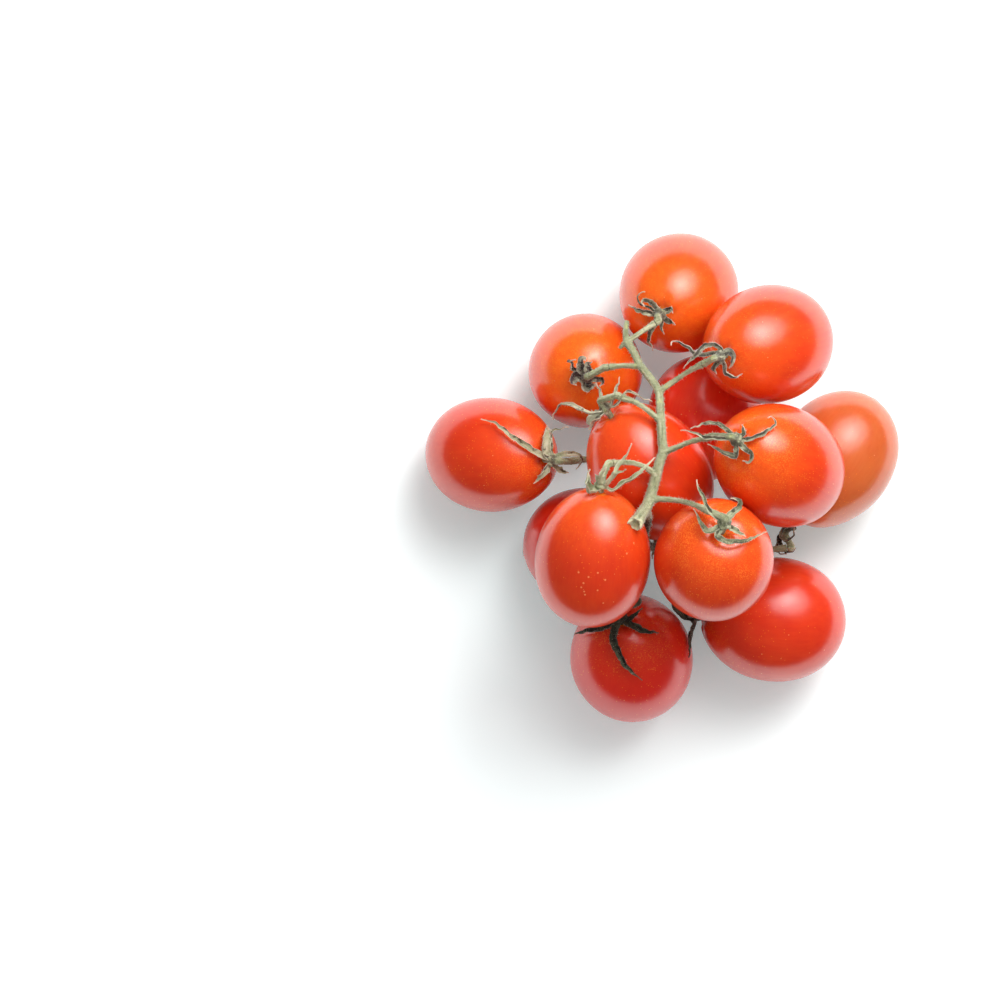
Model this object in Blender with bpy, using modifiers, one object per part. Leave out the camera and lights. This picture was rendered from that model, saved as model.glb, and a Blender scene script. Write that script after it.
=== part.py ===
"""A truss of cherry plum tomatoes, as picked, lying on a table.

Thirteen fruits hang on one branched vine. They lie in a pile: eight on the table, five on top.
Lengths are in millimetres until a mesh is made, which is in metres. X runs right, Y away, Z up.
"""

import math
import random

import bmesh
import bpy
import numpy as np
from mathutils import Matrix, Vector

# Driving dimensions, millimetres
MM = 0.001
FRUIT_GAP = 0.45
FLAT_SPOT_DEPTH = 0.3
FRUIT_TAPER = -0.05
DIMPLE_DEPTH = 1.1
DIMPLE_START = 0.94  # as a share of the way from the fruit's middle to its stem end
FRUIT_SIDES = 18
FRUIT_RINGS = 12
HIGHEST_START = 75.0
DROP_STEP = 0.1
SKIN_SAMPLES = 1600

STEM_CLEARANCE = 0.5
ROUTE_STEP = 2.2
# Radii along each stem, as a share of its length and a radius
TRUNK_RADII = ((0.0, 1.75), (0.05, 1.45), (0.25, 1.3), (0.6, 1.05), (0.95, 0.9), (1.0, 1.2))
BRANCH_RADII = ((0.0, 1.1), (0.5, 0.95), (1.0, 0.95))
STALK_RADII = ((0.0, 1.0), (0.15, 0.75), (0.85, 0.75), (1.0, 1.15))
STUB_RADII = ((0.0, 0.8), (0.8, 0.85), (1.0, 1.1))
SPUR_RADII = ((0.0, 0.8), (1.0, 0.5))
TRUNK_RADIUS = 1.05
TRUNK_BASE_RADIUS = 1.45
BRANCH_RADIUS = 0.95
STALK_RADIUS = 0.75

# Beyond its knuckle the stalk belongs to the calyx
KNUCKLE_RADIUS = 1.15
KNUCKLE_GAP = 0.4
KNUCKLE_CLEARANCE = 0.3
FOOT_RADII = ((0.0, 1.15), (0.25, 0.85), (0.7, 0.9), (1.0, 1.3))
FOOT_NECK = 0.9
FOOT_RISE = 2.2
FOOT_STEP = 1.6

SEPAL_THICKNESS = 0.65
SEPAL_CLEARANCE = 0.9
SEPAL_STEP = 2.6
SEPAL_ROOT = 1.0
SEPAL_LEAST_WIDTH = 0.6
SEPAL_LEVELLING = 0.25  # how far each step of a sepal turns to lie flat to the skin
SEPAL_OUTLINE = ((0.0, 0.75), (0.3, 1.0), (0.7, 0.6), (1.0, 0.15))
HIDDEN_SEPAL_WIDTH = 2.2
HIDDEN_SEPAL_REACH = 7.0
HIDDEN_SEPAL_RISE = 0.7
HIDDEN_CALYXES = (11, 13)
RECEPTACLE_RADIUS = 2.1
RECEPTACLE_HEIGHT = 1.3
RECEPTACLE_LIFT = 1.75
RECEPTACLE_SIDES = 10
RECEPTACLE_RINGS = 6
UNION_WAYS = (("EXACT", False), ("EXACT", True), ("MANIFOLD", False))
PUSH_STEP = 0.12
PUSH_ROUNDS = 60
LEAVES_SEED = 7

# Fruits in the order in which they come to lie: number, x, y, length, width,
# and where the stem end points, as a heading in plan and a pitch above level, in degrees
FRUITS = (
    (12, -42.2, 5.2, 37.5, 29.0, 354, 42),
    (6, -18.5, 26.5, 33.0, 29.0, 270, 84),
    (7, 4.9, 46.0, 38.0, 29.8, 228, 66),
    (11, 11.5, 14.5, 33.0, 28.8, 255, 5),
    (10, 44.8, 4.0, 37.0, 29.8, 236, 2),
    (13, -18.2, -17.4, 32.5, 28.8, 8, 4),
    (8, -7.0, -46.0, 37.0, 31.0, 107, 56),
    (9, 29.1, -36.6, 37.2, 31.6, 178, 6),
    (4, -3.3, 1.0, 38.0, 29.0, 126, 24),
    (5, 26.0, 32.3, 39.0, 29.5, 196, 51),
    (3, 28.1, 2.4, 41.0, 29.4, 153, 54),
    (1, 11.7, -20.5, 32.0, 29.0, 80, 60),
    (2, -17.6, -20.2, 35.5, 28.2, 84, 25),
)

# The vine's routes: x, y, z along the middle of each branch, from where it leaves its parent
MAIN_STEM = (
    (-8.2, -12.3, 63.2), (-6.9, -10.4, 60.5), (-4.8, -8.0, 56.5), (-3.6, -5.3, 54.5), (-2.8, -2.4, 54.0),
    (-1.4, 3.0, 54.2), (-0.6, 5.5, 53.8), (-0.8, 8.5, 53.2), (-1.0, 13.7, 50.8), (-1.2, 19.6, 46.8),
    (-1.8, 21.5, 45.5), (-4.2, 25.0, 43.2), (-5.7, 27.0, 42.0), (-7.4, 30.6, 40.6), (-9.0, 33.0, 39.6),
)
STUB = ((-9.0, 33.0, 39.6), (-9.2, 35.5, 39.8), (-8.8, 38.2, 39.6))
TORN_SPUR = ((-9.0, 33.0, 39.6), (-10.7, 31.2, 39.2))
LOWER_BRANCH = (
    (-5.2, -8.5, 56.8), (-4.8, -11.0, 51.5), (-4.6, -14.0, 45.0), (-4.2, -16.8, 38.0), (-1.5, -18.0, 31.0),
    (4.0, -18.0, 25.5), (10.0, -18.0, 21.0),
)
# Each stalk ends at its knuckle, just before the fruit's own calyx
STALKS = {
    1: ((-3.6, -6.2, 54.6), (0.2, -6.1, 56.2), (3.4, -6.5, 59.5), (6.6, -7.9, 64.5), (9.0, -8.6, 69.0)),
    2: ((-2.4, -0.2, 54.0), (-5.0, 1.7, 55.0), (-7.4, 2.6, 55.4), (-10.2, 2.9, 56.0), (-13.2, 2.6, 58.4)),
    3: ((-0.6, 5.2, 53.8), (3.3, 6.8, 54.8), (6.0, 7.9, 56.6), (10.2, 8.9, 60.0)),
    4: ((-1.0, 12.8, 51.0), (-4.6, 15.9, 51.0), (-7.5, 17.7, 51.0), (-10.6, 18.8, 50.8)),
    5: ((-1.4, 20.3, 46.4), (2.9, 23.2, 47.0), (6.2, 25.4, 48.6), (9.2, 26.9, 51.0)),
    6: ((-5.4, 26.6, 42.2), (-9.6, 26.9, 41.0), (-13.2, 26.6, 40.2)),
    7: ((-8.8, 32.8, 39.6), (-4.8, 35.6, 39.8), (-2.0, 37.4, 39.4)),
    8: ((-3.4, -17.4, 34.5), (-6.5, -21.5, 33.5), (-7.6, -26.5, 35.0), (-6.4, -30.6, 37.8)),
    9: ((7.0, -18.0, 23.2), (5.2, -24.0, 21.5), (3.6, -29.0, 20.8), (4.0, -32.2, 20.6)),
    10: ((10.0, -18.0, 21.0), (17.0, -18.6, 18.0), (24.0, -19.2, 16.5), (32.6, -18.4, 16.5)),
    11: ((9.4, -18.0, 21.4), (8.6, -13.0, 19.0), (7.4, -8.0, 17.0)),
    12: (
        (-1.6, -16.6, 36.0), (-3.0, -12.5, 28.5), (-4.0, -6.0, 22.0), (-7.5, 0.0, 17.5),
        (-13.0, 3.6, 18.0), (-18.5, 4.0, 22.0), (-22.0, 3.6, 26.5),
    ),
    13: ((3.0, -18.0, 26.6), (5.0, -15.6, 22.5), (4.8, -14.4, 18.5)),
}

# Sepals that show from above: the width of each, then points along it to its tip,
# as x, y, z from the fruit's stem end
SEPALS = {
    1: (
        (1.5, (-3.5, 3.5, 1.8), (-4.7, 5.9, 2.8), (-5.8, 8.3, 3.0), (-6.4, 9.7, 2.6), (-6.4, 11.3, 1.6)),
        (2.4, (1.2, 2.4, 1.0), (3.3, 4.1, 0.5), (3.8, 5.8, 1.2), (2.8, 6.8, 2.4), (1.4, 6.7, 3.0)),
        (1.9, (1.4, -0.3, 1.0), (3.3, -1.7, 0.4), (4.7, -2.9, -0.6)),
        (1.9, (-3.1, -1.3, 1.0), (-4.6, -0.3, 0.8), (-5.8, 2.2, 0.2), (-7.1, 4.2, 0.2)),
        (1.9, (-1.6, -2.7, 0.8), (0.8, -4.0, 0.4), (4.0, -3.8, 0.0), (7.5, -2.5, -1.2), (10.4, -1.3, -3.4)),
    ),
    2: (
        (2.0, (-2.0, -1.8, 1.0), (-3.3, 0.1, 2.4), (-3.5, 2.8, 4.0), (-2.8, 5.3, 5.0)),
        (2.3, (-0.3, 2.0, 2.6), (0.2, 4.0, 4.2), (1.2, 5.9, 5.4)),
        (1.8, (1.5, 1.6, 2.4), (3.0, 3.8, 4.4), (5.1, 7.2, 5.8), (6.6, 9.6, 6.2), (7.2, 11.5, 6.0)),
        (1.7, (2.7, 0.1, 1.0), (5.2, 1.7, 1.6), (8.7, 3.8, 1.4), (11.3, 6.2, 0.0), (13.2, 8.2, -1.2)),
        (1.2, (2.0, 2.2, 1.4), (3.6, 3.9, 2.0), (5.1, 4.7, 1.8), (6.0, 5.3, 2.8)),
    ),
    3: (
        (1.9, (-0.6, -3.5, 0.8), (-3.2, -2.9, 0.4), (-5.4, -1.6, -0.2), (-7.7, -0.5, -1.2)),
        (1.4, (-2.4, 2.2, 1.8), (-4.8, 4.0, 2.4), (-7.7, 4.1, 2.0), (-10.3, 3.5, 1.2), (-11.9, 3.0, 0.4)),
        (1.5, (-2.9, 0.5, 2.6), (-6.8, 0.6, 3.2), (-10.1, 1.5, 2.4), (-12.5, 2.4, 1.6), (-14.0, 2.6, 0.8)),
        (
            1.4, (2.8, 0.1, 0.8), (5.1, 1.0, 1.0), (7.4, 2.7, 0.8), (8.6, 4.4, 0.6), (7.8, 5.8, 1.4),
            (6.6, 5.8, 2.2),
        ),
        (2.0, (1.5, -1.9, 1.6), (2.9, -3.2, 1.4), (2.7, -4.6, 0.6), (1.3, -4.5, 0.2)),
        (1.8, (1.0, 1.7, 2.2), (1.1, 3.1, 3.0), (0.2, 4.0, 3.8)),
    ),
    4: (
        (1.4, (-0.4, -0.7, 1.2), (-1.2, 1.1, 1.4), (-1.7, 4.0, -1.0), (-2.2, 6.1, -4.0), (-3.0, 7.7, -7.5)),
        (1.3, (0.5, 2.0, 1.4), (1.2, 4.1, 1.4), (2.1, 6.7, 0.8), (2.9, 9.0, 0.0)),
        (
            1.2, (2.0, 2.0, 1.4), (3.4, 4.1, 1.8), (4.6, 5.1, 2.0), (6.0, 4.9, 1.8), (7.6, 3.9, 1.4),
            (10.8, 2.9, 0.8),
        ),
        (
            1.5, (-2.5, 0.2, 1.8), (-5.0, -0.1, 1.9), (-7.6, 1.2, 1.2), (-10.0, 2.2, -0.4),
            (-11.8, 2.0, -2.5), (-13.3, 0.2, -5.0), (-13.7, -1.7, -7.0),
        ),
        (2.8, (-2.2, -1.2, 0.4), (-4.0, -1.9, -0.2), (-4.1, -3.3, -1.4), (-2.8, -4.4, -2.4)),
    ),
    5: (
        (
            1.8, (-0.4, 1.4, 1.6), (-1.9, 2.7, 2.4), (-3.9, 2.8, 2.8), (-5.6, 1.3, 2.8), (-7.3, -0.6, 2.2),
            (-8.7, -1.9, 1.4), (-9.6, -3.2, 0.4),
        ),
        (
            1.4, (-2.3, 0.8, 0.6), (-4.9, 0.1, 0.2), (-6.8, 0.7, 0.0), (-8.6, 2.2, 0.0), (-10.7, 3.4, 0.4),
            (-12.2, 3.6, 1.0), (-13.0, 2.5, 1.6),
        ),
        (2.0, (1.4, 1.1, 1.8), (2.5, -0.1, 1.6), (2.6, -1.5, 0.8), (1.8, -2.7, 0.2)),
        (1.5, (0.3, -2.0, 0.8), (0.7, -3.6, 0.2), (1.9, -4.5, 0.0), (3.4, -4.9, 0.2), (4.7, -4.3, 1.0)),
        (1.9, (-1.5, -2.0, 0.2), (-2.2, -3.2, -0.2), (-1.3, -4.4, -1.0)),
    ),
    6: (
        (1.3, (-2.3, 1.1, 0.8), (-4.1, 2.0, 1.2), (-4.8, 3.3, 2.2), (-4.0, 4.2, 3.0), (-2.9, 3.7, 3.4)),
        (1.8, (-1.1, 1.6, 1.4), (-2.0, 2.9, 2.6), (-1.4, 4.1, 3.6), (-0.2, 3.3, 4.2)),
        (1.8, (-1.8, -0.4, 0.8), (-3.4, -0.4, 0.8), (-3.6, -1.7, 1.4), (-2.4, -2.6, 2.0)),
        (2.0, (-0.3, -1.5, 0.8), (-0.2, -2.9, 0.8), (1.1, -3.2, 1.4), (2.1, -2.2, 2.4)),
        (1.6, (1.7, -0.9, 0.8), (3.2, -0.6, 0.6), (3.9, -1.6, 1.0), (3.1, -2.7, 1.8)),
        (1.6, (0.4, 1.1, 2.0), (0.1, 2.4, 3.2), (1.1, 3.1, 3.8)),
    ),
    7: (
        (1.7, (-1.0, 1.1, 1.2), (-2.4, 2.5, 1.6), (-3.9, 3.1, 2.4), (-5.0, 2.3, 3.2), (-4.4, 1.2, 4.0)),
        (0.9, (-2.8, 1.3, 0.9), (-4.8, 1.9, 1.2), (-5.9, 3.4, 2.4), (-5.4, 4.7, 3.4), (-4.0, 5.0, 4.0)),
        (1.8, (-1.8, -0.4, 0.9), (-3.8, 0.2, 0.9), (-5.8, 0.9, 0.6), (-8.1, 1.9, 0.0)),
        (2.0, (1.6, 0.7, 1.4), (2.6, 1.2, 2.2), (2.8, -0.3, 3.0)),
        (1.9, (1.2, -1.5, 0.9), (2.5, -2.2, 0.9), (3.7, -3.1, 1.4)),
        (1.7, (-0.9, -2.2, 0.6), (-2.1, -3.8, 0.0), (-2.8, -6.5, -1.2), (-1.6, -9.0, -5.0)),
        (1.1, (0.2, -2.3, 0.8), (0.2, -3.8, 0.4), (1.0, -5.4, 0.6)),
    ),
    8: (
        (1.7, (-2.4, -1.2, 0.8), (-4.8, -2.3, 0.0), (-8.2, -2.8, -2.2), (-11.7, -4.0, -6.5)),
        (1.6, (1.9, -1.2, 0.8), (4.4, -2.4, 0.0), (7.2, -3.2, -1.4), (10.5, -4.2, -4.6)),
        (
            2.0, (-1.7, -2.9, 0.8), (-1.8, -5.1, 0.6), (-0.8, -7.9, -0.4), (1.1, -11.6, -2.6),
            (3.2, -14.1, -5.2), (5.7, -15.7, -8.0),
        ),
        (1.9, (-2.1, 1.6, 0.6), (-3.8, 3.0, -0.6), (-5.5, 4.2, -2.8)),
        (1.6, (2.1, 0.2, 1.2), (3.6, 1.4, 1.4), (5.1, 2.9, 1.8)),
    ),
    9: (
        (1.7, (-2.3, -1.2, 2.0), (-3.0, -3.4, 2.8), (-3.4, -5.7, 3.4), (-3.6, -7.9, 3.6), (-3.5, -9.8, 3.2)),
        (2.1, (-2.8, 2.1, 1.6), (-3.8, 4.4, 2.2), (-4.3, 5.9, 2.4)),
        (2.0, (-2.9, 1.2, 4.4), (-2.6, 2.8, 8.0)),
        (2.0, (-2.5, 0.7, -3.6), (-2.3, 1.8, -7.0)),
    ),
    10: (
        (1.2, (-2.7, -1.8, 2.4), (-3.4, -4.0, 3.4), (-2.2, -5.3, 4.2), (-0.5, -3.5, 4.4), (-0.2, -1.5, 3.8)),
        (
            1.5, (-2.4, -3.6, -1.8), (-3.4, -6.0, -2.2), (-2.6, -7.9, -1.6), (-0.9, -8.2, -0.6),
            (0.6, -7.4, 0.4),
        ),
        (1.3, (-3.6, -4.4, -2.8), (-4.4, -7.4, -3.0), (-3.7, -9.6, -1.4), (-2.2, -9.2, -0.4)),
        (2.2, (-3.2, -0.3, -1.0), (-5.2, 1.5, -1.6), (-6.6, 2.8, -2.4)),
    ),
    12: (
        (
            2.0, (-2.4, 1.5, 3.2), (-5.9, 3.8, 4.4), (-9.0, 5.9, 4.3), (-11.8, 8.1, 3.1), (-14.1, 9.7, 1.9),
            (-16.7, 10.4, 1.1),
        ),
        (3.8, (-0.8, 2.0, 2.0), (-0.9, 4.2, 1.6), (-0.5, 6.5, 0.0), (-0.1, 8.6, -3.3)),
        (1.1, (0.8, 3.2, 1.4), (0.5, 5.8, -0.4), (1.3, 7.6, -2.0), (3.2, 7.7, -2.6), (5.5, 8.3, -2.6)),
        (
            1.8, (1.6, 0.6, 1.4), (3.6, 1.3, 1.6), (5.8, 1.6, 1.0), (7.7, 1.1, 0.0), (8.3, -0.3, -1.4),
            (6.9, -1.8, -2.6),
        ),
        (2.4, (-0.7, -2.0, 1.4), (-1.9, -4.0, 1.5), (-3.7, -6.0, 1.5)),
        (2.0, (1.6, -1.5, 0.6), (3.4, -2.9, -0.4), (5.3, -3.3, -2.0)),
    ),
}


def clear_scene():
    for thing in list(bpy.data.objects):
        bpy.data.objects.remove(thing, do_unlink=True)


def new_collection(name):
    collection = bpy.data.collections.new(name)
    bpy.context.scene.collection.children.link(collection)
    return collection


def new_material(name, colour, roughness):
    material = bpy.data.materials.new(name)
    material.use_nodes = True
    shader = material.node_tree.nodes["Principled BSDF"]
    shader.inputs["Base Color"].default_value = (*colour, 1.0)
    shader.inputs["Roughness"].default_value = roughness
    shader.inputs["Metallic"].default_value = 0.0
    return material


class Fruit:
    """A tomato's ideal form: a solid of revolution, a little narrower at its stem end."""

    def __init__(self, number, x, y, length, width, heading, pitch):
        self.number = number
        self.half_length = length / 2
        self.half_width = width / 2
        heading, pitch = math.radians(heading), math.radians(pitch)
        level = math.cos(pitch)
        self.axis = np.array([math.cos(heading) * level, math.sin(heading) * level, math.sin(pitch)])
        self.side = np.array([-math.sin(heading), math.cos(heading), 0.0])
        self.up = np.cross(self.axis, self.side)
        self.centre = np.array([x, y, 0.0])

    def width_at(self, along):
        return self.half_width * (1 + FRUIT_TAPER * along)

    def skin(self, along, around_cos, around_sin):
        """Offsets of skin points from the centre, for a share along the axis and an angle round it."""
        ring = np.sqrt(np.maximum(0.0, 1 - along * along)) * self.width_at(along)
        return (
            np.outer(along * self.half_length, self.axis)
            + np.outer(ring * around_cos, self.side)
            + np.outer(ring * around_sin, self.up)
        )

    def depth(self, points, gap=0.0):
        """Below 0 inside the skin grown by the gap, above 0 outside it."""
        offsets = points - self.centre
        along = offsets @ self.axis / (self.half_length + gap)
        width = self.width_at(np.clip(along, -1, 1)) + gap
        across = ((offsets @ self.side) ** 2 + (offsets @ self.up) ** 2) / width**2
        return along * along + across - 1

    def outward(self, point):
        """The skin's normal nearest to a point."""
        offset = point - self.centre
        grown = (
            self.axis * (offset @ self.axis) / self.half_length**2
            + self.side * (offset @ self.side) / self.half_width**2
            + self.up * (offset @ self.up) / self.half_width**2
        )
        return grown / np.linalg.norm(grown)

    def stem_end(self):
        return self.centre + self.axis * self.half_length


def even_directions(count):
    """Points spread evenly over a unit ball, as shares along the axis and cosines round it."""
    step = np.arange(count) + 0.5
    along = 1 - 2 * step / count
    turn = step * math.pi * (3 - math.sqrt(5))
    return along, np.cos(turn), np.sin(turn)


def lay_fruits():
    """Lower the fruits one after another, until each rests on the table or on those below it."""
    directions = even_directions(SKIN_SAMPLES)
    laid = {}
    for row in FRUITS:
        fruit = Fruit(*row)
        offsets = fruit.skin(*directions)
        floor = -offsets[:, 2].min() - FLAT_SPOT_DEPTH
        height = HIGHEST_START
        while height > floor:
            lower = max(floor, height - DROP_STEP)
            skin = offsets + fruit.centre + (0, 0, lower)
            if any(other.depth(skin, FRUIT_GAP).min() < 0 for other in laid.values()):
                break
            height = lower
        fruit.centre[2] = height
        laid[fruit.number] = fruit
    return laid


def nearest_on_route(point, route):
    """The place on a route that lies nearest to a point."""
    starts, ends = np.array(route[:-1]), np.array(route[1:])
    runs = ends - starts
    shares = np.clip(((point - starts) * runs).sum(axis=1) / (runs * runs).sum(axis=1), 0, 1)
    places = starts + runs * shares[:, None]
    return places[np.linalg.norm(places - point, axis=1).argmin()]


def push_out(point, distance, fruits, stems=()):
    """Move a point off any fruit or stem that it is nearer to than the distance."""
    point = np.array(point, dtype=float)
    for _ in range(PUSH_ROUNDS):
        moved = False
        for fruit in fruits.values():
            if fruit.depth(point[None, :], distance)[0] < 0:
                point = point + fruit.outward(point) * PUSH_STEP
                moved = True
        for route, radius in stems:
            away = point - nearest_on_route(point, route)
            if np.linalg.norm(away) < radius + distance:
                point = point + away / max(np.linalg.norm(away), 0.01) * PUSH_STEP
                moved = True
        if not moved:
            break
    return point


def smooth_route(points, step=ROUTE_STEP):
    """A Catmull-Rom curve through hand-placed points, read at about even steps."""
    points = [np.array(p, dtype=float) for p in points]
    ends = [2 * points[0] - points[1]] + points + [2 * points[-1] - points[-2]]
    route = [points[0]]
    for index in range(1, len(ends) - 2):
        before, start, end, after = ends[index - 1 : index + 3]
        pieces = max(1, round(np.linalg.norm(end - start) / step))
        for piece in range(1, pieces + 1):
            t = piece / pieces
            route.append(
                0.5
                * (
                    2 * start
                    + (end - before) * t
                    + (2 * before - 5 * start + 4 * end - after) * t * t
                    + (3 * start - before - 3 * end + after) * t**3
                )
            )
    return route


def tube(name, route, radii, sides_level, home):
    """A round stem along a route, as a closed mesh; radii are read along its length."""
    curve = bpy.data.curves.new(name, "CURVE")
    curve.dimensions = "3D"
    curve.bevel_depth = MM
    curve.bevel_resolution = sides_level
    curve.use_fill_caps = True
    spline = curve.splines.new("POLY")
    spline.points.add(len(route) - 1)
    for index, place in enumerate(route):
        share = index / (len(route) - 1)
        spline.points[index].co = (*(Vector(place) * MM), 1.0)
        spline.points[index].radius = float(np.interp(share, *zip(*radii)))
    holder = bpy.data.objects.new(f"{name}_curve", curve)
    home.objects.link(holder)
    bpy.context.view_layer.update()
    graph = bpy.context.evaluated_depsgraph_get()
    mesh = bpy.data.meshes.new_from_object(holder.evaluated_get(graph))
    solid = bpy.data.objects.new(name, mesh)
    solid.matrix_world = holder.matrix_world.copy()
    home.objects.link(solid)
    bpy.data.objects.remove(holder, do_unlink=True)
    bpy.data.curves.remove(curve)
    shape = bmesh.new()
    shape.from_mesh(mesh)
    bmesh.ops.remove_doubles(shape, verts=shape.verts, dist=0.00001)
    bmesh.ops.recalc_face_normals(shape, faces=shape.faces)
    shape.to_mesh(mesh)
    shape.free()
    return solid


def is_closed(mesh):
    """True where every edge of the mesh joins exactly two faces."""
    shape = bmesh.new()
    shape.from_mesh(mesh)
    closed = all(len(edge.link_faces) == 2 for edge in shape.edges)
    shape.free()
    return closed


def fuse(base, pieces, cutters):
    """Join the pieces to the base as one closed body."""
    for piece in pieces:
        for owner in list(piece.users_collection):
            owner.objects.unlink(piece)
        cutters.objects.link(piece)
    union = base.modifiers.new("union", "BOOLEAN")
    union.operation = "UNION"
    union.operand_type = "COLLECTION"
    union.collection = cutters
    for solver, crosses_itself in UNION_WAYS:
        union.solver = solver
        union.use_self = crosses_itself
        bpy.context.view_layer.update()
        graph = bpy.context.evaluated_depsgraph_get()
        joined = bpy.data.meshes.new_from_object(base.evaluated_get(graph))
        if is_closed(joined):
            break
    base.modifiers.remove(union)
    base.data = joined
    for piece in pieces:
        bpy.data.objects.remove(piece, do_unlink=True)
    tidy_mesh(base.data)


def linked_verts(start):
    """All the points that edges join to the first one."""
    found, waiting = {start}, [start]
    while waiting:
        for edge in waiting.pop().link_edges:
            for vertex in edge.verts:
                if vertex not in found:
                    found.add(vertex)
                    waiting.append(vertex)
    return found


def tidy_mesh(mesh):
    """Keep the outer skin alone, without sealed hollows or scraps, in triangles."""
    shape = bmesh.new()
    shape.from_mesh(mesh)
    outermost = max(shape.verts, key=lambda vertex: vertex.co.z)
    skin = linked_verts(outermost)
    bmesh.ops.delete(shape, geom=[v for v in shape.verts if v not in skin], context="VERTS")
    bmesh.ops.triangulate(shape, faces=shape.faces)
    shape.to_mesh(mesh)
    shape.free()
    mesh.shade_smooth()
    mesh.set_sharp_from_angle(angle=math.radians(50))


def make_tomato(fruit, name, material, home):
    """A ball drawn out to the fruit's form, with a dimple at its stem end and, low down, a flat spot."""
    mesh = bpy.data.meshes.new(name)
    shape = bmesh.new()
    bmesh.ops.create_uvsphere(shape, u_segments=FRUIT_SIDES, v_segments=FRUIT_RINGS, radius=1.0)
    for vertex in shape.verts:
        x, y, along = vertex.co
        offset = (
            fruit.axis * along * fruit.half_length
            + fruit.side * x * fruit.width_at(along)
            + fruit.up * y * fruit.width_at(along)
        )
        near_pole = max(0.0, along - DIMPLE_START) / (1 - DIMPLE_START)
        offset -= fruit.axis * DIMPLE_DEPTH * near_pole**2
        vertex.co = Vector(fruit.centre + offset) * MM
    geometry = shape.verts[:] + shape.edges[:] + shape.faces[:]
    cut = bmesh.ops.bisect_plane(
        shape, geom=geometry, plane_co=(0, 0, 0), plane_no=(0, 0, -1), clear_outer=True, dist=1e-7
    )
    rim = [edge for edge in cut["geom_cut"] if isinstance(edge, bmesh.types.BMEdge)]
    if rim:
        bmesh.ops.holes_fill(shape, edges=rim, sides=0)
    bmesh.ops.recalc_face_normals(shape, faces=shape.faces)
    shape.to_mesh(mesh)
    shape.free()
    mesh.shade_smooth()
    mesh.set_sharp_from_angle(angle=math.radians(40))
    mesh.materials.append(material)
    tomato = bpy.data.objects.new(name, mesh)
    home.objects.link(tomato)
    return tomato


def lay_routes(fruits):
    """The vine's routes, bent clear of the fruits; each one starts on the middle of its parent."""

    def cleared(points, radius, parents=()):
        points = [push_out(p, radius + STEM_CLEARANCE, fruits) for p in points]
        if parents:
            starts = [nearest_on_route(points[0], route) for route in parents]
            points[0] = min(starts, key=lambda start: np.linalg.norm(start - points[0]))
        route = smooth_route(points)
        return [push_out(p, radius + STEM_CLEARANCE, fruits) for p in route]

    trunk = cleared(MAIN_STEM, TRUNK_RADIUS)
    branch = cleared(LOWER_BRANCH, BRANCH_RADIUS, [trunk])
    stalks = {n: cleared(points, STALK_RADIUS, [trunk, branch]) for n, points in STALKS.items()}
    stub = cleared(STUB, STALK_RADIUS, [trunk])
    spur = cleared(TORN_SPUR, STALK_RADIUS, [trunk])
    return {"trunk": trunk, "branch": branch, "stalks": stalks, "stub": stub, "spur": spur}


def make_vine(routes, material, home, cutters):
    """Main stem with its flared cut end, the lower branch, and a stalk for every fruit."""
    vine = tube("vine", routes["trunk"], TRUNK_RADII, 2, home)
    pieces = [
        tube("stub", routes["stub"], STUB_RADII, 1, home),
        tube("spur", routes["spur"], SPUR_RADII, 1, home),
        tube("branch", routes["branch"], BRANCH_RADII, 2, home),
    ]
    for number, route in routes["stalks"].items():
        pieces.append(tube(f"stalk_{number}", route, STALK_RADII, 1, home))
    fuse(vine, pieces, cutters)
    vine.data.materials.append(material)
    return vine


def receptacle(fruit, home):
    """The flat green disc that the sepals grow from, just off the fruit's dimple."""
    mesh = bpy.data.meshes.new("receptacle")
    shape = bmesh.new()
    bmesh.ops.create_uvsphere(shape, u_segments=RECEPTACLE_SIDES, v_segments=RECEPTACLE_RINGS, radius=1.0)
    turn = Matrix((fruit.side, fruit.up, fruit.axis)).transposed()
    place = Vector(fruit.stem_end() + fruit.axis * RECEPTACLE_LIFT)
    for vertex in shape.verts:
        x, y, z = vertex.co
        flat = Vector((x * RECEPTACLE_RADIUS, y * RECEPTACLE_RADIUS, z * RECEPTACLE_HEIGHT))
        vertex.co = (place + turn @ flat) * MM
    bmesh.ops.recalc_face_normals(shape, faces=shape.faces)
    shape.to_mesh(mesh)
    shape.free()
    disc = bpy.data.objects.new("receptacle", mesh)
    home.objects.link(disc)
    return disc


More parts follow.
